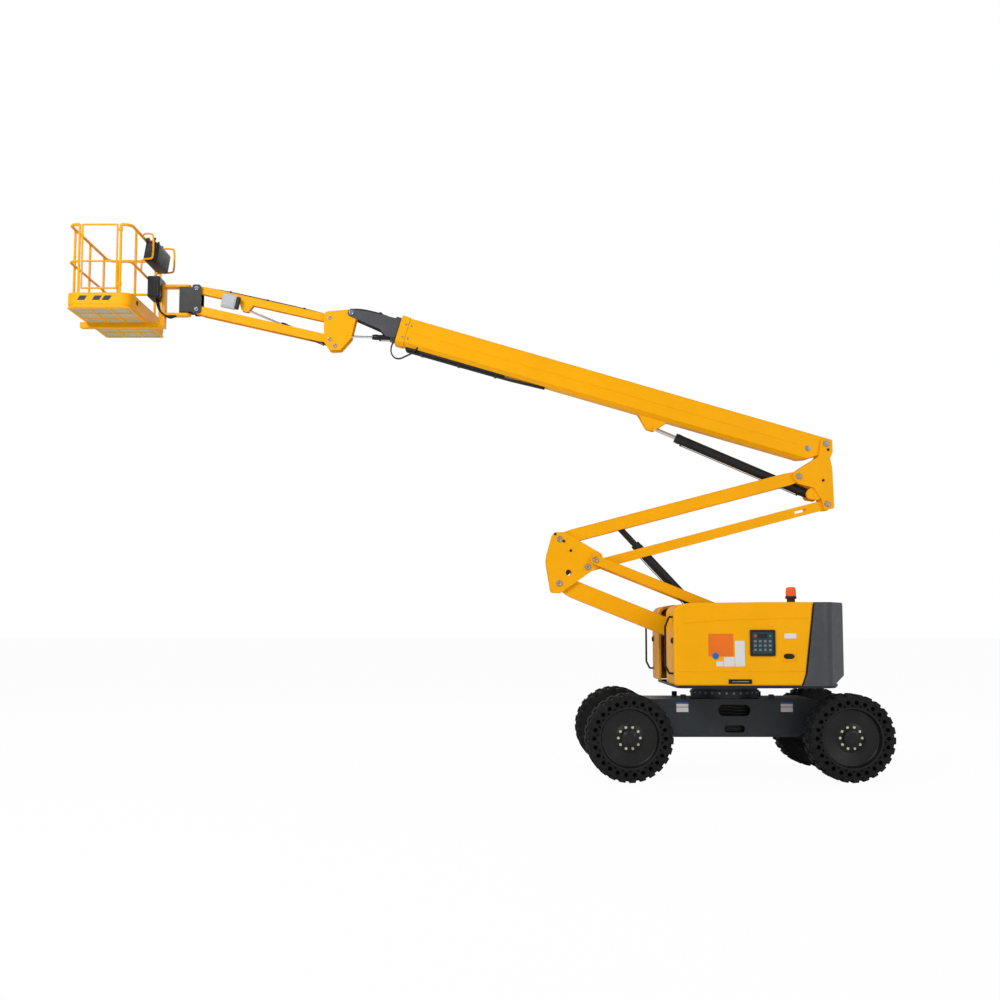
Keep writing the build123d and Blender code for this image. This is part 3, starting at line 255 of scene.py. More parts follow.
CAD_FINISHES = {
    "chassis_frame": SLATE, "slew_ring": SLATE, "front_axle": SLATE, "rear_axle": SLATE,
    "turntable": SLATE, "counterweight": CASTING, "engine_block": CASTING, "fluid_tank": PLASTIC,
    "control_panel": PLASTIC, "beacon": AMBER, "boom_fork": GREY, "inner_boom": GREY,
    "cable_tray": PLASTIC, "jib_head": BLACK, "basket_floor": YELLOW, "platform_console": PLASTIC,
    "tower_rod": BLACK, "steering_knuckle_near": BLACK, "steering_knuckle_far": BLACK,
    "lift_rod": CHROME, "jib_rod": CHROME, "level_rod": CHROME,
}


def cad_finish(node: str) -> Finish:
    """Return the finish of a carried-over CAD node.

    Args:
        node: its name.

    Returns:
        Its finish.
    """
    if node in CAD_FINISHES:
        return CAD_FINISHES[node]
    if node.startswith("tyre_"):
        return RUBBER
    if node.startswith(("rim_", "grab_handle_")) or node.endswith("_barrel"):
        return BLACK
    return YELLOW


class Bench:
    """Modelling moves that the sub-assemblies share."""

    @staticmethod
    def clear() -> None:
        """Deselect everything."""
        bpy.ops.object.select_all(action="DESELECT")

    @staticmethod
    def take(piece: Piece) -> None:
        """Select one piece alone and make it active."""
        Bench.clear()
        piece.select_set(True)
        bpy.context.view_layer.objects.active = piece

    @staticmethod
    def added(name: str) -> Piece:
        """Name the primitive that was just added and bake its place into its mesh.

        Args:
            name: name of the piece.

        Returns:
            The piece.
        """
        piece = bpy.context.object
        piece.name = name
        bpy.ops.object.transform_apply(location=True, rotation=True, scale=True)
        return piece

    @staticmethod
    def pick_faces(piece: Piece, normal: Vector, limit: float = 0.9) -> None:
        """In edit mode, select the faces that look along normal.

        Args:
            piece: the piece in edit mode.
            normal: direction to look along.
            limit: least cosine of the angle between.
        """
        bpy.ops.mesh.select_mode(type="FACE")
        bpy.ops.mesh.select_all(action="DESELECT")
        mesh = bmesh.from_edit_mesh(piece.data)
        for face in mesh.faces:
            face.select_set(face.normal.dot(normal) > limit)
        mesh.select_flush_mode()
        bmesh.update_edit_mesh(piece.data)

    @staticmethod
    def block(name: str, low: Point, high: Point, bevel: float, segments: int) -> Piece:
        """Model a block with bevelled edges between two corners.

        Args:
            name: name of the piece.
            low: lowest corner.
            high: highest corner.
            bevel: width of the bevel.
            segments: steps of the bevel.

        Returns:
            The block.
        """
        Bench.clear()
        middle = [(a + b) / 2 for a, b in zip(low, high)]
        size = [b - a for a, b in zip(low, high)]
        bpy.ops.mesh.primitive_cube_add(size=1.0, location=middle, scale=size)
        piece = Bench.added(name)
        bpy.ops.object.mode_set(mode="EDIT")
        bpy.ops.mesh.select_all(action="SELECT")
        bpy.ops.mesh.bevel(offset=bevel, segments=segments, affect="EDGES")
        bpy.ops.object.mode_set(mode="OBJECT")
        return piece

    @staticmethod
    def framed(name: str, low: Point, high: Point, out: Vector, rim: float, depth: float,
               bevel: float) -> Piece:
        """Model a block whose outer face is inset and pushed in or out.

        Args:
            name: name of the piece.
            low: lowest corner.
            high: highest corner.
            out: direction of the worked face.
            rim: width of the frame left round it.
            depth: travel of the inner face along out.
            bevel: width of the bevel on the block's edges.

        Returns:
            The framed block.
        """
        return Bench.recess(Bench.block(name, low, high, bevel, 2), out, rim, depth)

    @staticmethod
    def recess(piece: Piece, out: Vector, rim: float, depth: float) -> Piece:
        """Inset the active piece's flat faces that look along out and push them in or out.

        Args:
            piece: the piece.
            out: direction of the worked faces.
            rim: width of the frame left round them.
            depth: travel of the inner faces along out.

        Returns:
            The piece.
        """
        bpy.ops.object.mode_set(mode="EDIT")
        Bench.pick_faces(piece, out, FLAT)
        bpy.ops.mesh.inset(thickness=rim, depth=0.0)
        bpy.ops.mesh.extrude_region_move(TRANSFORM_OT_translate={"value": tuple(out * depth)})
        bpy.ops.object.mode_set(mode="OBJECT")
        return piece

    @staticmethod
    def bar(name: str, start: Point, end: Point, radius: float, sides: int,
            bevel: float = 0.0) -> Piece:
        """Model a round bar between two points, bevelled at both ends.

        Args:
            name: name of the piece.
            start: centre of one end.
            end: centre of the other end.
            radius: its radius.
            sides: faces round it.
            bevel: width of the end bevels; a tenth of the radius if 0.

        Returns:
            The bar.
        """
        a, b = Vector(start), Vector(end)
        turn = (b - a).to_track_quat("Z", "Y").to_euler()
        Bench.clear()
        bpy.ops.mesh.primitive_cylinder_add(vertices=sides, radius=radius, depth=(b - a).length,
                                            location=(a + b) / 2, rotation=turn)
        piece = Bench.added(name)
        bpy.ops.object.mode_set(mode="EDIT")
        Bench.pick_faces(piece, (b - a).normalized())
        bpy.ops.mesh.bevel(offset=bevel or radius * 0.1, segments=2, affect="EDGES")
        Bench.pick_faces(piece, (a - b).normalized())
        bpy.ops.mesh.bevel(offset=bevel or radius * 0.1, segments=1, affect="EDGES")
        bpy.ops.object.mode_set(mode="OBJECT")
        bpy.ops.object.shade_smooth_by_angle(angle=radians(40))
        return piece

    @staticmethod
    def sleeve(name: str, start: Point, end: Point, outer: float,
               inner: float) -> Piece:
        """Model a round bar that is bored through.

        Args:
            name: name of the piece.
            start: centre of one end.
            end: centre of the other end.
            outer: its outer radius.
            inner: radius of the bore.

        Returns:
            The sleeve.
        """
        bevel = (outer - inner) * 0.25
        piece = Bench.bar(name, start, end, outer, SLEEVE_SIDES, bevel)
        way = (Vector(end) - Vector(start)).normalized()
        bpy.ops.object.mode_set(mode="EDIT")
        for out in (way, -way):
            Bench.open_end(piece, out, outer - bevel - inner)
        Bench.line_bore()
        return piece

    @staticmethod
    def open_end(piece: Piece, out: Vector, wall: float) -> None:
        """In edit mode, open the flat end that looks along out.

        Args:
            piece: the piece in edit mode.
            out: direction of the end.
            wall: width of the flat that stays round the opening.
        """
        Bench.pick_faces(piece, out, FLAT)
        bpy.ops.mesh.inset(thickness=wall)
        bpy.ops.mesh.delete(type="FACE")

    @staticmethod
    def line_bore() -> None:
        """Join the two openings of the piece in edit mode by a bore, and leave edit mode."""
        bpy.ops.mesh.select_mode(type="EDGE")
        bpy.ops.mesh.select_all(action="DESELECT")
        bpy.ops.mesh.select_non_manifold()
        bpy.ops.mesh.bridge_edge_loops()
        bpy.ops.mesh.select_all(action="SELECT")
        bpy.ops.mesh.normals_make_consistent(inside=False)
        bpy.ops.object.mode_set(mode="OBJECT")

    @staticmethod
    def bolt(name: str, foot: Point, out: Vector, radius: float,
             height: float) -> Piece:
        """Model a hexagon bolt head on its washer.

        Args:
            name: name of the piece.
            foot: centre of the washer's seat.
            out: direction it stands in.
            radius: radius of the head.
            height: height of washer and head.

        Returns:
            The bolt.
        """
        washer = height * 0.3
        tilt = out.to_track_quat("Z", "Y").to_euler()
        Bench.clear()
        bpy.ops.mesh.primitive_cylinder_add(vertices=12, radius=radius * 1.35,
                                            depth=washer, rotation=tilt,
                                            location=Vector(foot) + out * washer / 2)
        seat = Bench.added(name)
        Bench.clear()
        bpy.ops.mesh.primitive_cylinder_add(vertices=6, radius=radius, depth=height - washer,
                                            rotation=tilt,
                                            location=Vector(foot) + out * (height + washer) / 2)
        head = Bench.added(name + "_head")
        bpy.ops.object.mode_set(mode="EDIT")
        Bench.pick_faces(head, out)
        bpy.ops.mesh.bevel(offset=radius * 0.16, segments=1, affect="EDGES")
        bpy.ops.object.mode_set(mode="OBJECT")
        return Bench.joined(name, [seat, head])

    @staticmethod
    def pipe(name: str, points: list[Point], radius: float, sides: int,
             smooth: bool = True) -> Piece:
        """Model a bent pipe or hose as a swept curve, then make it a mesh.

        Args:
            name: name of the piece.
            points: points of its centre line.
            radius: its radius.
            sides: resolution of the round section.
            smooth: whether the line bends smoothly at its points.

        Returns:
            The pipe.
        """
        curve = bpy.data.curves.new(name, "CURVE")
        curve.dimensions = "3D"
        curve.bevel_depth = radius
        curve.bevel_resolution = sides
        curve.use_fill_caps = True
        curve.resolution_u = 8
        spline = curve.splines.new("NURBS" if smooth else "POLY")
        spline.points.add(len(points) - 1)
        for knot, point in zip(spline.points, points):
            knot.co = (*point, 1.0)
        if smooth:
            spline.order_u = 3
            spline.use_endpoint_u = True
        piece = bpy.data.objects.new(name, curve)
        bpy.context.scene.collection.objects.link(piece)
        Bench.take(piece)
        bpy.ops.object.convert(target="MESH")
        piece = bpy.context.object
        bpy.ops.object.shade_smooth_by_angle(angle=radians(50))
        return piece

    @staticmethod
    def copy(piece: Piece, move: Matrix) -> Piece:
        """Copy a piece with its own mesh and move the copy's mesh.

        Args:
            piece: the piece to copy.
            move: where the copy goes.

        Returns:
            The copy.
        """
        twin = piece.copy()
        twin.data = piece.data.copy()
        moved(twin, move)
        bpy.context.scene.collection.objects.link(twin)
        return twin

    @staticmethod
    def joined(name: str, pieces: list[Piece]) -> Piece:
        """Join pieces into one.

        Args:
            name: name of the whole.
            pieces: its parts.

        Returns:
            The whole.
        """
        Bench.clear()
        for piece in pieces:
            piece.select_set(True)
        bpy.context.view_layer.objects.active = pieces[0]
        if len(pieces) > 1:
            bpy.ops.object.join()
        pieces[0].name = name
        return pieces[0]

    @staticmethod
    def spread(name: str, piece: Piece, moves: list[Matrix]) -> Piece:
        """Repeat a piece at each move and join the copies; the pattern itself is removed.

        Args:
            name: name of the whole.
            piece: the pattern.
            moves: where its copies go.

        Returns:
            The whole.
        """
        copies = [Bench.copy(piece, move) for move in moves]
        bpy.data.objects.remove(piece)
        return Bench.joined(name, copies)

    @staticmethod
    def fit(piece: Piece, body: str, finish: Finish) -> Piece:
        """Paint a finished piece and fix it to the body that carries it.

        Args:
            piece: the piece, in its place.
            body: body it rides on.
            finish: its finish.

        Returns:
            The piece.
        """
        piece.data.materials.clear()
        piece.data.materials.append(finish.build())
        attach(piece, body)
        log.info("piece %s on %s in %s", piece.name, body, finish.name)
        return piece


def turned(centre: Point, axis: Vector, angle: float) -> Matrix:
    """Turn about an axis through a point.

    Args:
        centre: point on the axis.
        axis: its direction.
        angle: in radians.

    Returns:
        The move.
    """
    there = Matrix.Translation(centre)
    return there @ Matrix.Rotation(angle, 4, axis) @ there.inverted()


def moved(piece: Piece, move: Matrix) -> Piece:
    """Move a piece's mesh, and turn its faces back outwards if the move mirrors it.

    Args:
        piece: the piece.
        move: where its mesh goes.

    Returns:
        The piece.
    """
    piece.data.transform(move)
    if move.determinant() < 0:
        piece.data.flip_normals()
    return piece


@dataclass
class Bay:
    """Straight run of an arm: places on it are s along and n above its line."""

    x: float
    z: float
    pitch: float
    way: int

    def at(self, s: float, n: float, y: float) -> Point:
        """Return the point s along, n above and y across.

        Args:
            s: distance along the run.
            n: distance above it.
            y: sideways place.

        Returns:
            The point.
        """
        c, k = cos(radians(self.pitch)), sin(radians(self.pitch))
        return (self.x + self.way * (s * c - n * k), y, self.z + s * k + n * c)

    def placed(self, piece: Piece) -> Piece:
        """Move a piece modelled at (s, y, n) onto the run.

        Args:
            piece: the piece.

        Returns:
            The piece in its place.
        """
        c, k = cos(radians(self.pitch)), sin(radians(self.pitch))
        move = Matrix(((self.way * c, 0, -self.way * k, self.x), (0, 1, 0, 0),
                       (k, 0, c, self.z), (0, 0, 0, 1)))
        return moved(piece, move)


LOWER = Bay(4.1117, 1.2210, 22.0, -1)
UPPER = Bay(1.1508, 2.9877, 14.7, 1)
BOOM = Bay(4.6060, 4.2238, 16.3, -1)
JIB = Bay(-1.8426, 5.8905, 12.8, -1)


@dataclass
class Wheels:
    """Lugged tyres with their sidewall hollows, whose depth is painted shade on flat near-black discs, and
    the nuts and screws of the four wheels.
    """

    bore_radius: float = 0.3553
    carcass_radius: float = 0.506
    shoulder: float = 0.046
    lug_count: int = 26
    lug_half_length: float = 0.041
    tread_span: tuple[float, float] = (0.028, 0.150)
    foot_start: float = 0.142
    foot_heights: tuple[float, float] = (0.468, 0.516)
    foot_share: float = 0.80
    nut_circle: float = 0.131
    nut_radius: float = 0.0125
    nut_count: int = 10
    nut_seat: float = 0.0885
    cap_circle: float = 0.062
    cap_seat: float = 0.1575
    hollow_circle: float = 0.428
    hollow_radius: float = 0.0245

    def build(self) -> None:
        """Dress all the wheels."""
        for end, x in (("front", FRONT_X), ("rear", REAR_X)):
            for side in Side:
                self.dress(f"{end}_{side.word}", x, side)

    def ring(self, name: str, pattern: Piece, hub: Point, count: int) -> Piece:
        """Repeat a pattern round the wheel's axis.

        Args:
            name: name of the whole.
            pattern: the piece to repeat.
            hub: point on the axis.
            count: how many.

        Returns:
            The ring of pieces.
        """
        moves = [turned(hub, ACROSS, tau * i / count) for i in range(count)]
        return Bench.spread(name, pattern, moves)

    def dress(self, word: str, x: float, side: Side) -> None:
        """Add one wheel's tyre and small pieces.

        Args:
            word: end and side of the wheel.
            x: place of its axle.
            side: side of the machine.
        """
        out = side.out
        hub = (x, 0.0, TYRE_RADIUS)
        body = f"wheel_{word}"
        middle = (x, side.value * WHEEL_Y, TYRE_RADIUS)
        carcass = self.carcass(middle)
        rings = [self.ring("lugs", self.lug(middle, sign), hub, self.lug_count) for sign in (-1, 1)]
        tyre = Bench.joined(f"lugged_tyre_{word}", [carcass] + rings)
        Bench.fit(tyre, body, RUBBER)
        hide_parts(f"tyre_{word}")
        self.hollows(word, middle, side)
        y = side.value * (WHEEL_Y + self.nut_seat)
        nut = Bench.bolt("nut", (x + self.nut_circle, y, TYRE_RADIUS), out, self.nut_radius, 0.022)
        Bench.fit(self.ring(f"wheel_nuts_{word}", nut, hub, self.nut_count), body, NUT_STEEL)
        y = side.value * (WHEEL_Y + self.cap_seat)
        screw = Bench.bolt("screw", (x + self.cap_circle, y, TYRE_RADIUS), out, 0.007, 0.010)
        Bench.fit(self.ring(f"cap_screws_{word}", screw, hub, 6), body, BLACK)

    def carcass(self, middle: Point) -> Piece:
        """Model the tyre without its lugs: a bevelled cylinder that is bored through.

        Args:
            middle: its centre.

        Returns:
            The carcass.
        """
        Bench.clear()
        bpy.ops.mesh.primitive_cylinder_add(vertices=104, radius=self.carcass_radius,
                                            depth=2 * WHEEL_HALF_WIDTH, location=middle,
                                            rotation=(pi / 2, 0, 0))
        piece = Bench.added("carcass")
        bpy.ops.object.mode_set(mode="EDIT")
        for way in (-1, 1):
            end = Vector((0, way, 0))
            Bench.pick_faces(piece, end, FLAT)
            bpy.ops.mesh.bevel(offset=self.shoulder, segments=3, affect="EDGES")
            Bench.open_end(piece, end, self.carcass_radius - self.shoulder - self.bore_radius)
        Bench.line_bore()
        Bench.take(piece)
        bpy.ops.object.shade_smooth_by_angle(angle=radians(32))
        return piece

    def lug(self, middle: Point, sign: int) -> Piece:
        """Model one tread lug with its foot down the shoulder.

        Args:
            middle: centre of the tyre.
            sign: shoulder it stands on, -1 or 1.

        Returns:
            The lug.
        """
        x, y, z = middle
        half = self.lug_half_length
        near, far = sorted(y + sign * reach for reach in self.tread_span)
        tread = Bench.block("tread", (x - half, near, z + self.carcass_radius - 0.020),
                            (x + half, far, z + TYRE_RADIUS - 0.0005), 0.007, 2)
        near, far = sorted((y + sign * self.foot_start, y + sign * (WHEEL_HALF_WIDTH + 0.004)))
        low, high = self.foot_heights
        half *= self.foot_share
        foot = Bench.block("foot", (x - half, near, z + low), (x + half, far, z + high), 0.009, 2)
        whole = Bench.joined("lug", [tread, foot])
        whole.data.transform(turned(middle, ACROSS, sign * pi / self.lug_count / 2))
        return whole

    def hollows(self, word: str, middle: Point, side: Side) -> None:
        """Add the two rings of round hollows in the outer sidewall, each a raised lip round a flat
        near-black disc that is painted shade for the hollow's depth.

        Args:
            word: end and side of the wheel.
            middle: centre of the tyre.
            side: side of the machine.
        """
        x, y, z = middle
        out = side.out
        wall = y + side.value * WHEEL_HALF_WIDTH
        lips, shade_discs = [], []
        for circle, radius, shift in ((self.hollow_circle, self.hollow_radius, 0.0),
                                      (self.hollow_circle - 0.040, self.hollow_radius * 0.42, 0.5)):
            start = (x + circle, wall - side.value * 0.002, z)
            lip = self.pocket((x + circle, wall, z), out, radius * 1.16, 18)
            # This disc is painted shade: flat, near-black and matt, standing in for the dark inside of the
            # hollow.
            hole = Bench.bar("hole", start, (x + circle, wall + side.value * 0.0022, z), radius, 18, 0.0004)
            for pattern, found in ((lip, lips), (hole, shade_discs)):
                pattern.data.transform(turned(middle, ACROSS, tau * shift / self.lug_count))
                found.append(self.ring(pattern.name, pattern, middle, self.lug_count))
        Bench.fit(Bench.joined(f"sidewall_lips_{word}", lips), f"wheel_{word}", RUBBER)
        # The lips are real rubber; the discs are painted shade for the hollows' depth.
        Bench.fit(Bench.joined(f"sidewall_hollows_{word}", shade_discs), f"wheel_{word}", HOLLOW_SHADE)

    def pocket(self, centre: Point, out: Vector, radius: float, sides: int) -> Piece:
        """Model a raised lip round a hollow in the sidewall.

        Args:
            centre: its middle on the sidewall.
            out: direction away from the tyre.
            radius: outer radius of the lip.
            sides: faces round it.

        Returns:
            The lip.
        """
        Bench.clear()
        bpy.ops.mesh.primitive_cylinder_add(vertices=sides, radius=radius, depth=0.008,
                                            location=Vector(centre) + out * 0.001,
                                            rotation=out.to_track_quat("Z", "Y").to_euler())
        piece = Bench.added("pocket")
        return Bench.recess(piece, out, radius * 0.12, -0.0045)


@dataclass
class Chassis:
    """Blank plates, lugs, slewing drive, ring bolts, weld beads and hoses of the chassis."""

    plate_places: tuple[float, ...] = (2.664, 3.970)
    lug_places: tuple[float, ...] = (2.678, 3.781)

    def build(self) -> None:
        """Add the frame's small pieces."""
        for number, x in enumerate(self.plate_places):
            for side in Side:
                self.blank_plate(f"frame_plate_{number}_{side.word}", x, side)
        lugs = [Bench.framed("lug", (x - 0.034, side.value * 0.430 - 0.014, 0.945),
                             (x + 0.034, side.value * 0.430 + 0.014, 1.018), side.out,
                             0.014, -0.006, 0.006) for x in self.lug_places for side in Side]
        Bench.fit(Bench.joined("frame_top_lugs", lugs), "chassis", BLACK)
        self.swivel()
        self.slew_bolts()
        self.weld_beads()
        self.axle_hoses()

    def blank_plate(self, name: str, x: float, side: Side) -> None:
        """Add one white plate with a blue and a red band and nothing written on it.

        Args:
            name: name of the plate.
            x: its middle.
            side: side of the machine.
        """
        y = side.value * FRAME_Y
        lift = side.value * 0.003
        for part, low, high, finish in (("white", 0.800, 0.900, WHITE), ("blue", 0.900, 0.922, BLUE),
                                        ("red", 0.856, 0.866, RED)):
            thick = lift * (1.5 if part == "red" else 1.0)
            ends = sorted((y - lift * 0.3, y + thick))
            plate = Bench.block(f"{name}_{part}", (x - 0.075, ends[0], low), (x + 0.075, ends[1], high),
                                0.001, 1)
            Bench.fit(plate, "chassis", finish)

    def swivel(self) -> None:
        """Add the slewing drive and its hose block, seen through the slots in the frame."""
        drive = Bench.bar("drive", (SLEW_X + 0.05, 0.0, 0.53), (SLEW_X + 0.05, 0.0, 0.93), 0.20, 36, 0.02)
        block = Bench.framed("hose_block", (SLEW_X - 0.30, -0.33, 0.54), (SLEW_X + 0.38, 0.33, 0.90),
                             Side.NEAR.out, 0.05, -0.03, 0.012)
        Bench.fit(Bench.joined("slew_drive", [drive, block]), "chassis", BLACK)
        hoses = []
        for number in range(4):
            z = 0.745 + 0.04 * number
            hoses.append(Bench.pipe("hose", [(SLEW_X - 0.20, -0.36, z), (SLEW_X, -0.40, z + 0.01),
                                             (SLEW_X + 0.12, -0.40, z - 0.02),
                                             (SLEW_X + 0.30, -0.36, z + 0.01)], 0.012, 3))
        Bench.fit(Bench.joined("slew_drive_hoses", hoses), "chassis", HOSE)

    def slew_bolts(self) -> None:
        """Add the ring of bolts round the fixed half of the slewing ring."""
        middle = (SLEW_X, 0.0, 0.0)
        bolt = Bench.bolt("bolt", (SLEW_X + 0.434, 0.0, 1.030), Vector((1, 0, 0)), 0.010, 0.012)
        moves = [turned(middle, UP, tau * i / 30) for i in range(30)]
        Bench.fit(Bench.spread("slew_ring_bolts", bolt, moves), "chassis", PIN_STEEL)

    def weld_beads(self) -> None:
        """Add the weld beads along the frame's belly."""
        beads = []
        for side in Side:
            y = side.value * (FRAME_Y - 0.004)
            low = [(SLEW_X + x, y, z) for x, z in ((-1.43, 0.640), (-1.05, 0.640), (-0.84, 0.500),
                                                   (0.84, 0.500), (1.05, 0.640), (1.43, 0.640))]
            beads.append(Bench.pipe("bead", low, 0.006, 2))
        Bench.fit(Bench.joined("frame_weld_beads", beads), "chassis", SLATE)

    def axle_hoses(self) -> None:
        """Add the brake and steering hoses clipped to both axle beams."""
        hoses = []
        for x in (FRONT_X + 0.108, REAR_X - 0.108):
            for z in (0.560, 0.588):
                hoses.append(Bench.pipe("hose", [(x, -0.56, z), (x, -0.3, z + 0.01), (x, 0.3, z - 0.01),
                                                 (x, 0.56, z)], 0.009, 3))
        Bench.fit(Bench.joined("axle_hoses", hoses), "chassis", HOSE)


@dataclass
class Hoods:
    """Pressed lines, latches, pulls, blank plates, ground panel and beacon of both hoods."""

    front: float = SLEW_X - 0.790
    swage: tuple[tuple[float, float], ...] = ((2.595, 1.905), (2.80, 1.932), (3.289, 1.957),
                                              (4.095, 1.972))
    groove_z: float = 1.330
    orange_place: tuple[float, float, float, float] = (2.892, 1.505, 3.194, 1.778)

    def build(self) -> None:
        """Dress both hoods."""
        for side in Side:
            self.pressed_lines(side)
            self.latches(side)
            self.handle(side)
        self.blank_plates()
        self.ground_panel()
        self.beacon_details()

    def body(self, side: Side) -> str:
        """Name of a hood's body."""
        return f"{side.word}_hood"

    def pressed_lines(self, side: Side) -> None:
        """Add the raised swage and the rubber seal line of one hood.

        Args:
            side: side of the machine.
        """
        y = side.value * (HOOD_Y - 0.004)
        bead = Bench.pipe("bead", [(x, y, z) for x, z in self.swage], 0.010, 3)
        lower = Bench.pipe("bead", [(self.front + 0.05, y, self.groove_z), (3.2, y, self.groove_z - 0.004),
                                    (4.05, y, self.groove_z)], 0.008, 3)
        Bench.fit(Bench.joined(f"hood_swage_{side.word}", [bead, lower]), self.body(side), YELLOW)
        rear = [(4.014, y, 1.162), (4.064, y, 1.298), (4.166, y, 2.130)]
        seal = Bench.pipe(f"hood_seal_{side.word}", rear, 0.007, 3, smooth=False)
        Bench.fit(seal, self.body(side), PLASTIC)

    def latches(self, side: Side) -> None:
        """Add the lower latch bar in its frame and the front keeper of one hood.

        Args:
            side: side of the machine.
        """
        out = side.out
        y = side.value * HOOD_Y
        ends = sorted((y - side.value * 0.006, y + side.value * 0.010))
        frame_piece = Bench.framed(f"latch_frame_{side.word}", (3.13, ends[0], 1.178),
                                   (3.41, ends[1], 1.232), out, 0.010, -0.008, 0.003)
        Bench.fit(frame_piece, self.body(side), BLACK)
        bar = Bench.bar(f"latch_bar_{side.word}", (3.17, y + side.value * 0.007, 1.205),
                        (3.37, y + side.value * 0.007, 1.205), 0.007, 12)
        Bench.fit(bar, self.body(side), PIN_STEEL)
        x = self.front
        keeper = Bench.framed(f"front_latch_{side.word}", (x - 0.016, side.value * 1.02 - 0.035, 1.66),
                              (x + 0.004, side.value * 1.02 + 0.035, 1.73), Vector((-1, 0, 0)),
                              0.010, 0.006, 0.003)
        Bench.fit(keeper, self.body(side), BLACK)

    def handle(self, side: Side) -> None:
        """Add the oval recessed pull of one hood.

        Args:
            side: side of the machine.
        """
        out = side.out
        y = side.value * HOOD_Y
        ends = sorted((y - side.value * 0.004, y + side.value * 0.009))
        bezel = Bench.block(f"pull_bezel_{side.word}", (3.775, ends[0], 1.452), (3.952, ends[1], 1.562),
                            0.006, 3)
        Bench.recess(bezel, out, 0.016, -0.008)
        Bench.fit(bezel, self.body(side), YELLOW)
        lip = Bench.bar(f"pull_recess_{side.word}", (3.863, y - side.value * 0.004, 1.507),
                        (3.863, y + side.value * 0.004, 1.507), 0.066, 32, 0.002)
        lip.data.transform(Matrix.Translation((3.863, 0, 1.507)) @ Matrix.Scale(0.56, 4, (0, 0, 1))
                           @ Matrix.Translation((-3.863, 0, -1.507)))
        Bench.fit(lip, self.body(side), BLACK)

    def blank_plates(self) -> None:
        """Add the plates of the near hood, all left blank."""
        y0, y1 = -HOOD_Y - 0.0022, -HOOD_Y + 0.001
        x0, z0, x1, z1 = self.orange_place
        plates = [
            ("orange_plate", x0, z0, x1, z1, ORANGE),
            ("white_plate_tall", 3.213, 1.386, 3.330, 1.693, WHITE),
            ("white_plate_wide", 3.077, 1.386, 3.207, 1.500, WHITE),
            ("white_plate_small", 2.985, 1.386, 3.070, 1.446, WHITE),
            ("white_plate_rear", 3.811, 1.722, 3.955, 1.782, WHITE),
        ]
        for name, a, low, b, high, finish in plates:
            Bench.fit(Bench.block(name, (a, y0, low), (b, y1, high), 0.0008, 1), "near_hood", finish)
        disc = Bench.bar("blue_disc", (2.978, y1, 1.512), (2.978, y0 - 0.0022, 1.512), 0.040, 28, 0.0008)
        Bench.fit(disc, "near_hood", BLUE)

    def ground_panel(self) -> None:
        """Add the face, keys, dial and screen of the ground control panel."""
        x0, x1, z0, z1 = SLEW_X + 0.152, SLEW_X + 0.403, 1.537, 1.798
        y = -HOOD_Y - 0.008
        bezel = Bench.framed("panel_bezel", (x0 - 0.022, -HOOD_Y - 0.004, z0 - 0.022),
                             (x1 + 0.022, -HOOD_Y + 0.001, z1 + 0.022), Side.NEAR.out, 0.016,
                             -0.002, 0.0015)
        Bench.fit(bezel, "near_hood", YELLOW)
        face = Bench.block("panel_face", (x0, y - 0.001, z0), (x1, y + 0.004, z1), 0.002, 1)
        Bench.fit(face, "near_hood", SCREEN)
        out = Side.NEAR.out
        keys = []
        for row in range(3):
            for column in range(4):
                x = x0 + 0.035 + column * 0.060
                z = z1 - 0.110 - row * 0.052
                keys.append(Bench.framed("key", (x - 0.016, y - 0.007, z - 0.013),
                                         (x + 0.016, y, z + 0.013), out, 0.005, -0.002, 0.002))
        Bench.fit(Bench.joined("panel_keys", keys), "near_hood", KEY_GREY)
        screen = Bench.framed("panel_screen", (x0 + 0.070, y - 0.006, z1 - 0.075),
                              (x1 - 0.070, y, z1 - 0.020), out, 0.005, -0.003, 0.002)
        Bench.fit(screen, "near_hood", PLASTIC)
        stop = Bench.bar("panel_stop", (x0 + 0.034, y, z1 - 0.046), (x0 + 0.034, y - 0.014, z1 - 0.046),
                         0.018, 20, 0.004)
        Bench.fit(stop, "near_hood", RED)
        start = Bench.bar("panel_start", (x1 - 0.034, y, z1 - 0.046), (x1 - 0.034, y - 0.012, z1 - 0.046),
                          0.013, 16, 0.003)
        Bench.fit(start, "near_hood", GREEN)

    def beacon_details(self) -> None:
        """Add the black foot of the beacon and its ribs."""
        x, y = SLEW_X + 0.700, -0.820
        foot = Bench.bar("beacon_foot", (x, y, 2.160), (x, y, 2.208), 0.050, 24, 0.006)
        collar = Bench.bar("collar", (x, y, 2.204), (x, y, 2.238), 0.069, 28, 0.005)
        Bench.fit(Bench.joined("beacon_foot", [foot, collar]), "near_hood", PLASTIC)
        rib = Bench.bar("rib", (x + 0.060, y, 2.240), (x + 0.060, y, 2.312), 0.003, 8)
        moves = [turned((x, y, 0), UP, tau * i / 18) for i in range(18)]
        Bench.fit(Bench.spread("beacon_ribs", rib, moves), "near_hood", AMBER)


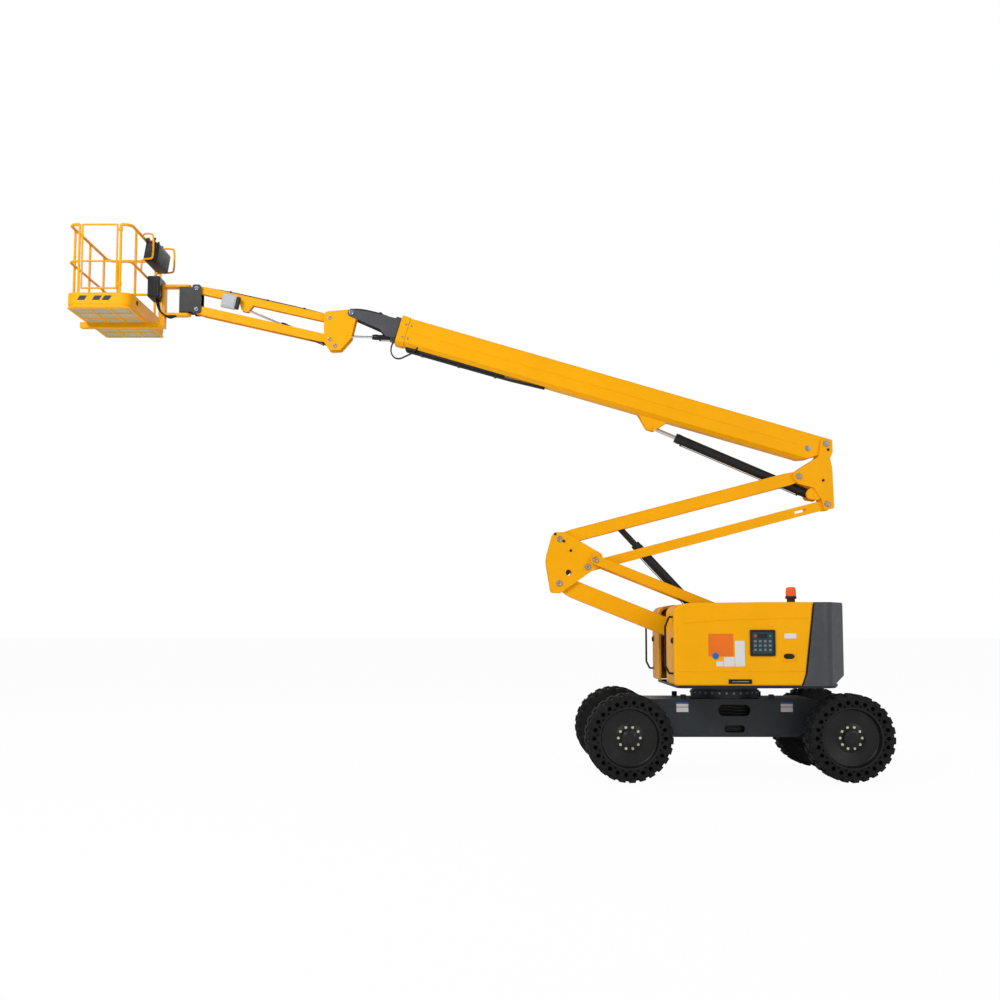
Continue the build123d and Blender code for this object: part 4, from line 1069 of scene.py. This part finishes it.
@dataclass
class Pins:
    """Caps on the ends of the pivot pins, each with its keeper bolt."""

    places: list[tuple[str, str, float, float, float, float]] = field(default_factory=lambda: [
        ("turret_arm", "turret", 4.1117, 1.2210, 0.245, 0.030),
        ("turret_link", "turret", 4.5747, 1.5190, 0.245, 0.030),
        ("knuckle_low", "knuckle_body", 1.1448, 2.4197, 0.167, 0.030),
        ("knuckle_link", "knuckle_body", 1.6078, 2.7177, 0.214, 0.030),
        ("knuckle_top", "knuckle_body", 1.1508, 2.9877, 0.167, 0.030),
        ("knuckle_tie", "knuckle_body", 1.5108, 2.6277, 0.167, 0.030),
        ("head_arm", "head_body", 4.2460, 3.7998, 0.167, 0.030),
        ("head_tie", "head_body", 4.6060, 3.4398, 0.167, 0.030),
        ("boom_foot", "head_body", 4.6060, 4.2238, 0.167, 0.030),
        ("nose", "boom_slide", -1.5616, 5.9565, 0.131, 0.025),
        ("jib_top", "jib_foot", -1.8426, 5.8905, 0.106, 0.020),
        ("jib_low", "jib_foot", -1.8426, 5.6105, 0.106, 0.020),
        ("jib_ram", "jib_foot", -1.7756, 5.5245, 0.106, 0.020),
        ("jib_end_top", "jib_end", -3.5978, 6.2892, 0.104, 0.020),
        ("jib_end_low", "jib_end", -3.5978, 6.0092, 0.104, 0.020),
    ])

    def build(self) -> None:
        """Add a cap at both ends of every pin."""
        for name, body, x, z, y, radius in self.places:
            caps = [self.cap(x, z, side.value * y, side, radius) for side in Side]
            Bench.fit(Bench.joined(f"pin_cap_{name}", caps), body, PIN_STEEL)

    def cap(self, x: float, z: float, y: float, side: Side, radius: float) -> Piece:
        """Model one cap: a flange, a raised boss and a keeper bolt.

        Args:
            x: place of the pin.
            z: height of the pin.
            y: outer end of the pin.
            side: side of the machine.
            radius: radius of the pin.

        Returns:
            The cap.
        """
        out = side.out
        inner = y - side.value * 0.0115
        flange = Bench.bar("cap", (x, inner, z), (x, y + side.value * 0.003, z), radius * 1.28, 28,
                           radius * 0.1)
        Bench.recess(flange, out, radius * 0.45, -0.004)
        bolt = Bench.bolt("keeper", (x, y - side.value * 0.002, z), out, radius * 0.34, 0.010)
        return Bench.joined("cap", [flange, bolt])


@dataclass
class Riser:
    """Trim of the riser: bolts, the plugged hole of the knuckle and weld seams."""

    knuckle_bolts: tuple[tuple[float, float], ...] = ((1.095, 3.050), (1.206, 2.958), (1.294, 2.837))
    head_bolts: tuple[tuple[float, float], ...] = ((4.632, 4.145), (4.560, 3.745))
    knuckle_hole: tuple[float, float] = (1.257, 2.559)

    def build(self) -> None:
        """Add the riser's trim."""
        for name, body, places in (("knuckle", "knuckle_body", self.knuckle_bolts),
                                   ("head", "head_body", self.head_bolts)):
            bolts = [Bench.bolt("bolt", (x, side.value * 0.155, z), side.out, 0.013, 0.014)
                     for x, z in places for side in Side]
            Bench.fit(Bench.joined(f"{name}_bolts", bolts), body, BLACK)
        x, z = self.knuckle_hole
        plug = Bench.bar("knuckle_hole_plug", (x, -0.150, z), (x, 0.150, z), 0.029, 24)
        Bench.fit(plug, "knuckle_body", BLACK)
        self.seam("lower_arm_seams", LOWER, "arm_low", 0.115, (0.30, 3.00), 0.106)
        self.seam("upper_arm_seams", UPPER, "arm_up", 0.115, (0.22, 3.02), 0.077)
        self.seam("lower_link_seams", Bay(4.5747, 1.519, 22.0, -1), "link_low", 0.200, (0.10, 3.10), 0.057)

    def seam(self, name: str, bay: Bay, body: str, y: float, span: tuple[float, float], n: float) -> None:
        """Add the four weld seams along an arm's edges.

        Args:
            name: name of the piece.
            bay: the arm's line.
            body: body that carries it.
            y: half width of the arm.
            span: start and end along the arm.
            n: height of the seams above and below the line.
        """
        beads = []
        for side in Side:
            for sign in (-1, 1):
                across = side.value * (y - 0.001)
                line = [bay.at(span[0] + (span[1] - span[0]) * i / 6, sign * n, across) for i in range(7)]
                beads.append(Bench.pipe("bead", line, 0.0045, 2, smooth=False))
        Bench.fit(Bench.joined(name, beads), body, YELLOW)


@dataclass
class MainBoom:
    """Trim of the main boom: creases, collar bolts, side pins and the hoses of tray and nose."""

    half_width: float = 0.125
    bottom: float = -0.294
    top: float = 0.078
    tip: float = 5.750

    def build(self) -> None:
        """Add the boom's trim."""
        self.creases()
        self.collar()
        self.side_pins()
        self.tray_hoses()
        self.nose_hoses()

    def creases(self) -> None:
        """Add the pressed line along each side and the weld under the top plate."""
        beads = []
        for side in Side:
            y = side.value * (self.half_width - 0.0015)
            for n, radius in ((-0.105, 0.0060), (self.bottom + 0.046, 0.0045), (self.top - 0.016, 0.0040)):
                line = [BOOM.at(0.35 + (self.tip - 0.50) * i / 8, n, y) for i in range(9)]
                beads.append(Bench.pipe("bead", line, radius, 2, smooth=False))
        Bench.fit(Bench.joined("boom_creases", beads), "boom", YELLOW)

    def collar(self) -> None:
        """Add the bolts of the wear pads round the boom's tip and tail."""
        bolts = []
        for s in (self.tip - 0.150, self.tip - 0.080):
            for n in (-0.020, -0.190):
                for side in Side:
                    y = side.value * (self.half_width + (0.009 if s > self.tip - 0.110 else 0.0))
                    bolts.append(Bench.bolt("bolt", BOOM.at(s, n, y), side.out, 0.010, 0.010))
        Bench.fit(Bench.joined("wear_pad_bolts", bolts), "boom", PIN_STEEL)

    def side_pins(self) -> None:
        """Add the telescope cylinder's pin plates near the boom's tail."""
        plates = []
        for side in Side:
            x, y, z = BOOM.at(0.205, -0.118, side.value * self.half_width)
            out = side.out
            flange = Bench.bar("flange", (x, y - side.value * 0.002, z), (x, y + side.value * 0.009, z),
                               0.036, 28, 0.003)
            bolt = Bench.bolt("bolt", (x, y + side.value * 0.008, z), out, 0.013, 0.012)
            plates.append(Bench.joined("plate", [flange, bolt]))
        Bench.fit(Bench.joined("telescope_pin_plates", plates), "boom", PIN_STEEL)

    def tray_hoses(self) -> None:
        """Add the hoses that lie in the tray, and its clamps."""
        lines = []
        for y in (-0.045, -0.015, 0.015, 0.045):
            points = [BOOM.at(s, self.bottom - 0.030 - lift, y) for s, lift in
                      ((3.70, -0.020), (4.10, 0.000), (4.30, 0.004), (4.80, 0.007), (5.30, 0.009),
                       (5.58, 0.010))]
            lines.append(Bench.pipe("hose", points, 0.011, 3))
        for s in (4.35, 4.85, 5.35):
            lines.append(BOOM.placed(Bench.block("clamp", (s, -0.074, self.bottom - 0.052),
                                                 (s + 0.035, 0.074, self.bottom - 0.010), 0.004, 2)))
        Bench.fit(Bench.joined("tray_hoses", lines), "boom", HOSE)

    def nose_hoses(self) -> None:
        """Add the hoses held over the grey nose, and the loop that hangs under the boom's tip."""
        lines = []
        for y in (-0.060, -0.030, 0.0, 0.030, 0.060):
            points = [BOOM.at(s, n, y) for s, n in ((5.70, -0.012), (5.86, 0.020), (6.05, 0.036),
                                                    (6.22, 0.030), (6.36, 0.010), (6.44, -0.020))]
            lines.append(Bench.pipe("hose", points, 0.010, 3))
        for y in (-0.104, -0.082):
            loop = [(-0.985, y, 5.600), (-1.029, y, 5.552), (-1.048, y, 5.445), (-1.007, y, 5.363),
                    (-0.927, y, 5.343), (-0.835, y, 5.391), (-0.741, y, 5.432), (-0.690, y, 5.500)]
            lines.append(Bench.pipe("hose", loop, 0.009, 3))
        clamp = BOOM.placed(Bench.block("clamp", (6.02, -0.100, 0.014), (6.06, 0.100, 0.050), 0.006, 2))
        Bench.fit(Bench.joined("nose_hoses", lines + [clamp]), "boom_slide", HOSE)


@dataclass
class Jib:
    """Trim of the jib: junction box, hoses and the basket's rotary actuator."""

    def build(self) -> None:
        """Add the jib's trim."""
        box = JIB.placed(Bench.framed("junction_box", (1.245, -0.150, -0.175), (1.430, -0.084, 0.010),
                                      Side.NEAR.out, 0.012, 0.006, 0.008))
        Bench.fit(box, "jib_top_bar", PALE_GREY)
        end = JIB.placed(Bench.block("end", (1.196, -0.146, -0.165), (1.246, -0.088, 0.000), 0.012, 2))
        bracket = JIB.placed(Bench.block("bracket", (1.28, -0.086, -0.030), (1.40, -0.050, 0.012),
                                         0.003, 1))
        Bench.fit(Bench.joined("junction_box_ends", [end, bracket]), "jib_top_bar", PLASTIC)
        lines = []
        for y in (-0.044, 0.044):
            points = [JIB.at(s, n, y) for s, n in ((0.10, 0.046), (0.30, 0.056), (0.90, 0.058),
                                                   (1.40, 0.056), (1.62, 0.044))]
            lines.append(Bench.pipe("hose", points, 0.0075, 3))
            for s in (0.35, 0.85, 1.35):
                clamp = Bench.block("clamp", (s, y - 0.012, 0.046), (s + 0.03, y + 0.012, 0.068), 0.003, 1)
                lines.append(JIB.placed(clamp))
        Bench.fit(Bench.joined("jib_hoses", lines), "jib_top_bar", HOSE)
        self.actuator()

    def actuator(self) -> None:
        """Add the flange bolts of the rotary actuator."""
        x = SLEW_X - 7.030
        bolts = []
        for i in range(10):
            angle = tau * i / 10
            bolts.append(Bench.bolt("bolt", (x + 0.064 * cos(angle), 0.064 * sin(angle), 6.309),
                                    UP, 0.007, 0.003))
        Bench.fit(Bench.joined("actuator_bolts", bolts), "jib_end", BLACK)


@dataclass
class Cylinders:
    """Glands, ports, feed pipes and wipers of the four cylinders."""

    rams: list[tuple[str, Point, Point, float, float, float]] = field(default_factory=lambda: [
        ("tower", (3.1719, 0.0, 1.8046), (1.8936, 0.0, 3.1826), 1.500, 0.060, 0.040),
        ("lift", (4.4180, 0.0, 3.5698), (2.3524, 0.0, 4.4587), 1.900, 0.062, 0.026),
        ("jib", (-1.7756, 0.0, 5.5245), (-2.9620, 0.0, 6.0279), 0.780, 0.031, 0.016),
        ("level", (-0.7346, 0.0, 5.6375), (-1.6246, 0.0, 5.6665), 0.560, 0.034, 0.017),
    ])

    base_port: float = 0.16
    tip_port: float = 0.10

    def build(self) -> None:
        """Dress all four cylinders."""
        for name, base, eye, length, radius, rod in self.rams:
            self.dress(name, Vector(base), Vector(eye), length, radius, rod)

    def dress(self, name: str, base: Vector, eye: Vector, length: float, radius: float,
              rod: float) -> None:
        """Add one cylinder's glands, ports, pipe and wiper.

        Args:
            name: name of the cylinder.
            base: centre of its base pin.
            eye: centre of its rod's pin.
            length: end of the barrel from the base pin.
            radius: radius of the barrel.
            rod: radius of the rod.
        """
        way = (eye - base).normalized()
        up = way.cross(ACROSS)
        up = up if up.z < 0 else -up
        pieces = []
        for s, wide in ((length - 0.075, 0.05), (0.12, 0.03)):
            pieces.append(Bench.sleeve("gland", tuple(base + way * s), tuple(base + way * (s + wide)),
                                       radius + 0.003, radius - 0.001))
        for s in (self.base_port, length - self.tip_port):
            port = base + way * s + up * (radius - 0.002)
            pieces.append(Bench.bolt("port", tuple(port), up, 0.010, 0.020))
        start = base + way * self.base_port + up * (radius + 0.011)
        end = base + way * (length - self.tip_port) + up * (radius + 0.011)
        pieces.append(Bench.pipe("pipe", [tuple(start), tuple(end)], 0.005, 3, smooth=False))
        Bench.fit(Bench.joined(f"{name}_cylinder_fittings", pieces), f"{name}_cyl", BLACK)
        wiper = Bench.sleeve(f"{name}_wiper", tuple(base + way * (length - 0.002)),
                             tuple(base + way * (length + 0.005)), rod + 0.006, rod + 0.0008)
        Bench.fit(wiper, f"{name}_cyl", PIN_STEEL)


@dataclass
class Basket:
    """Mesh floor, hazard stripes, console controls and guard loops of the work basket."""

    left: float = SLEW_X - 8.330
    right: float = SLEW_X - 7.510
    half_width: float = 0.900
    floor_z: float = 5.850
    toe_low: float = 5.890
    toe_high: float = 6.035
    stripe: float = 0.092

    def build(self) -> None:
        """Add the basket's pieces."""
        self.mesh_floor()
        self.stripes()
        self.console()
        self.guard_loops()

    def mesh_floor(self) -> None:
        """Add the mesh seen from below in its yellow frame, and the mesh rods seen from above."""
        x0, x1 = self.left + 0.03, self.right - 0.03
        y0, y1 = -self.half_width + 0.03, self.half_width - 0.03
        z = self.floor_z
        panel = Bench.block("floor_mesh_panel", (x0, y0, z - 0.002), (x1, y1, z + 0.001), 0.0008, 1)
        Bench.fit(panel, "basket", GREY)
        frames = []
        for i in range(4):
            x = x0 + (x1 - x0) * i / 3
            frames.append(Bench.block("frame", (x - 0.016, y0, z - 0.016), (x + 0.016, y1, z - 0.001),
                                      0.002, 1))
        for i in range(7):
            y = y0 + (y1 - y0) * i / 6
            frames.append(Bench.block("frame", (x0, y - 0.016, z - 0.015), (x1, y + 0.016, z - 0.001),
                                      0.002, 1))
        Bench.fit(Bench.joined("floor_frame", frames), "basket", YELLOW)
        rods = []
        for height, radius, pitch in ((z - 0.006, 0.0042, 0.020), (z + 0.0430, 0.0035, 0.040)):
            for i in range(int((x1 - x0) / pitch) - 1):
                x = x0 + (i + 1) * pitch
                rods.append(Bench.bar("rod", (x, y0 + 0.02, height), (x, y1 - 0.02, height), radius, 5,
                                      0.0004))
            for i in range(int((y1 - y0) / pitch / 2) - 1):
                y = y0 + (i + 1) * pitch * 2
                rods.append(Bench.bar("rod", (x0 + 0.02, y, height), (x1 - 0.02, y, height), radius, 5,
                                      0.0004))
        Bench.fit(Bench.joined("floor_mesh_rods", rods), "basket", MESH_STEEL)

    def stripes(self) -> None:
        """Add the black slanted bars on the toe board."""
        spots = [((x, -self.half_width), 0) for x in (-4.855, -4.667, -4.545)]
        spots += [((self.left, y), 1) for y in (-0.35, 0.05, 0.45)]
        spots += [((self.right, y), 1) for y in (-0.60, 0.60)]
        bars = [self.slanted(spot, along) for spot, along in spots]
        Bench.fit(Bench.joined("toe_board_stripes", bars), "basket", BLACK)

    def slanted(self, spot: tuple[float, float], along: int) -> Piece:
        """Model one slanted bar of the hazard stripes.

        Args:
            spot: its middle in X and Y.
            along: 0 where the board runs in X, 1 where it runs in Y.

        Returns:
            The bar.
        """
        low, high = self.toe_low + 0.048, self.toe_high - 0.040
        thick = 0.0022
        size = (self.stripe, 2 * thick) if along == 0 else (2 * thick, self.stripe)
        piece = Bench.block("stripe", (spot[0] - size[0] / 2, spot[1] - size[1] / 2, low),
                            (spot[0] + size[0] / 2, spot[1] + size[1] / 2, high), 0.0006, 1)
        lean = Matrix.Identity(4)
        lean[along][2] = 0.6
        middle = Matrix.Translation((spot[0], spot[1], (low + high) / 2))
        piece.data.transform(middle @ lean @ middle.inverted())
        return piece

    def console(self) -> None:
        """Add the rounded control box in place of the plain one, and its controls."""
        x0, x1 = self.right + 0.022, self.right + 0.205
        case = Bench.block("console_case", (x0, -0.325, 6.600), (x1, 0.325, 6.868), 0.040, 5)
        Bench.recess(case, UP, 0.014, -0.008)
        case.data.transform(turned((x0, 0.0, 6.870), ACROSS, radians(9)))
        hooks = [Bench.block("hook", (self.right - 0.0023, y - 0.025, 6.80), (x0 + 0.02, y + 0.025, 6.93),
                             0.004, 2) for y in (-0.20, 0.20)]
        case = Bench.joined("console_case", [case] + hooks)
        bpy.ops.object.shade_smooth_by_angle(angle=radians(35))
        Bench.fit(case, "basket", PLASTIC)
        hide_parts("platform_console")
        sticks = []
        for y in (-0.20, 0.0, 0.20):
            x = x0 + 0.085
            sticks.append(Bench.bar("boot", (x, y, 6.842), (x, y, 6.876), 0.026, 20, 0.008))
            sticks.append(Bench.bar("stick", (x, y, 6.870), (x, y, 6.918), 0.008, 12))
            sticks.append(Bench.bar("knob", (x, y, 6.904), (x, y, 6.936), 0.014, 16, 0.005))
        Bench.fit(Bench.joined("console_levers", sticks), "basket", PLASTIC)
        stop = Bench.bar("console_stop", (x0 + 0.06, -0.275, 6.845), (x0 + 0.06, -0.275, 6.878), 0.020, 20,
                         0.006)
        Bench.fit(stop, "basket", RED)
        low_box = Bench.framed("basket_valve_box", (self.right + 0.030, -0.24, 6.140),
                               (self.right + 0.190, 0.10, 6.420), Side.NEAR.out, 0.03, 0.008, 0.016)
        Bench.fit(low_box, "basket", PLASTIC)
        feed = [Bench.pipe("hose", [(self.right + 0.12, y, 6.160), (self.right + 0.13, y, 6.02),
                                    (self.right + 0.22, y * 0.8, 5.93), (SLEW_X - 7.20, y * 0.5, 5.90),
                                    (SLEW_X - 7.12, y * 0.4, 5.96)], 0.010, 3)
                for y in (-0.12, -0.08, -0.04, 0.0)]
        Bench.fit(Bench.joined("basket_hoses", feed), "basket", HOSE)

    def guard_loops(self) -> None:
        """Add the guard hoops at both ends of the console."""
        x0 = self.right - 0.021
        for side, reach in ((Side.NEAR, 0.150), (Side.FAR, 0.255)):
            y = side.value * 0.36
            line = [(x0, y, 6.905), (x0 + 0.02, y, 6.945), (x0 + reach - 0.03, y, 6.945),
                    (x0 + reach, y, 6.915), (x0 + reach, y, 6.640), (x0 + reach - 0.03, y, 6.610),
                    (x0 + 0.02, y, 6.610), (x0, y, 6.560), (x0, y, 6.440)]
            hoop = Bench.pipe(f"console_guard_{side.word}", line, 0.013, 4)
            Bench.fit(hoop, "basket", YELLOW)


@dataclass
class Studio:
    """Pale floor, soft lights and the camera at the photograph's place."""

    camera_place: Point = (0.332, -17.75, 1.873)
    camera_pitch: float = 5.25
    lens: float = 49.3
    shift: float = 0.004

    def build(self) -> None:
        """Set up the studio."""
        scene = bpy.context.scene
        scene.view_settings.view_transform = "Standard"
        self.floor()
        self.world(scene)
        self.lamps()
        camera = bpy.data.objects.new("camera", bpy.data.cameras.new("camera"))
        camera.data.lens = self.lens
        camera.data.shift_x = self.shift
        camera.location = self.camera_place
        camera.rotation_euler = (radians(90 + self.camera_pitch), 0, 0)
        scene.collection.objects.link(camera)
        scene.camera = camera
        log.info("studio ready")

    def floor(self) -> None:
        """Add the pale floor, which keeps the machine's soft shadow."""
        Bench.clear()
        bpy.ops.mesh.primitive_plane_add(size=400.0, location=(0, 0, -0.001))
        floor = Bench.added("studio_floor")
        material = bpy.data.materials.new("studio_white")
        material.use_nodes = True
        tree = material.node_tree
        shader = tree.nodes["Principled BSDF"]
        preset(shader, {"Base Color": (0.90, 0.90, 0.90, 1), "Roughness": 1.0, "Specular IOR Level": 0.0})
        glow = tree.nodes.new("ShaderNodeEmission")
        glow.inputs["Color"].default_value = (1, 1, 1, 1)
        mix = tree.nodes.new("ShaderNodeMixShader")
        path = tree.nodes.new("ShaderNodeLightPath")
        share = tree.nodes.new("ShaderNodeMath")
        share.operation = "MULTIPLY"
        share.inputs[1].default_value = 0.965
        tree.links.new(path.outputs["Is Camera Ray"], share.inputs[0])
        tree.links.new(share.outputs[0], mix.inputs["Fac"])
        tree.links.new(shader.outputs[0], mix.inputs[1])
        tree.links.new(glow.outputs[0], mix.inputs[2])
        tree.links.new(mix.outputs[0], tree.nodes["Material Output"].inputs["Surface"])
        floor.data.materials.append(material)

    def world(self, scene: bpy.types.Scene) -> None:
        """Light the scene softly all round and show white behind it.

        Args:
            scene: the scene.
        """
        world = bpy.data.worlds.new("studio")
        world.use_nodes = True
        scene.world = world
        tree = world.node_tree
        soft = tree.nodes["Background"]
        preset(soft, {"Color": (0.95, 0.97, 1.0, 1), "Strength": 0.42})
        white = tree.nodes.new("ShaderNodeBackground")
        preset(white, {"Color": (1, 1, 1, 1), "Strength": 1.0})
        path = tree.nodes.new("ShaderNodeLightPath")
        most = tree.nodes.new("ShaderNodeMath")
        most.operation = "MAXIMUM"
        mix = tree.nodes.new("ShaderNodeMixShader")
        tree.links.new(path.outputs["Is Camera Ray"], most.inputs[0])
        tree.links.new(path.outputs["Is Transmission Ray"], most.inputs[1])
        tree.links.new(most.outputs[0], mix.inputs["Fac"])
        tree.links.new(soft.outputs[0], mix.inputs[1])
        tree.links.new(white.outputs[0], mix.inputs[2])
        tree.links.new(mix.outputs[0], tree.nodes["World Output"].inputs["Surface"])

    def lamps(self) -> None:
        """Hang three large soft lamps."""
        for name, place, energy, size in (("key", (-9.0, -13.0, 13.0), 1750.0, 6.0),
                                          ("fill", (12.0, -12.0, 7.0), 420.0, 8.0),
                                          ("back", (1.0, 12.0, 14.0), 800.0, 10.0)):
            lamp = bpy.data.lights.new(name, "AREA")
            lamp.energy = energy
            lamp.size = size
            holder = bpy.data.objects.new(name, lamp)
            holder.location = place
            aim = Vector((0.5, 0.0, 3.0)) - Vector(place)
            holder.rotation_euler = aim.to_track_quat("-Z", "Y").to_euler()
            bpy.context.scene.collection.objects.link(holder)


def dress_cad_nodes() -> None:
    """Give every carried-over CAD node its finish."""
    for name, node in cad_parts.items():
        node.data.materials.clear()
        node.data.materials.append(cad_finish(name).build())
        log.info("node %s in %s", name, cad_finish(name).name)


def main() -> None:
    """Build the sub-assemblies in order, then the studio."""
    logging.basicConfig(level=logging.INFO, format="%(name)s: %(message)s")
    dress_cad_nodes()
    for part in (Wheels(), Chassis(), Hoods(), Pins(), Riser(), MainBoom(), Jib(), Cylinders(), Basket(),
                 Studio()):
        log.info("building %s", type(part).__name__)
        part.build()


if __name__ == "__main__":
    main()
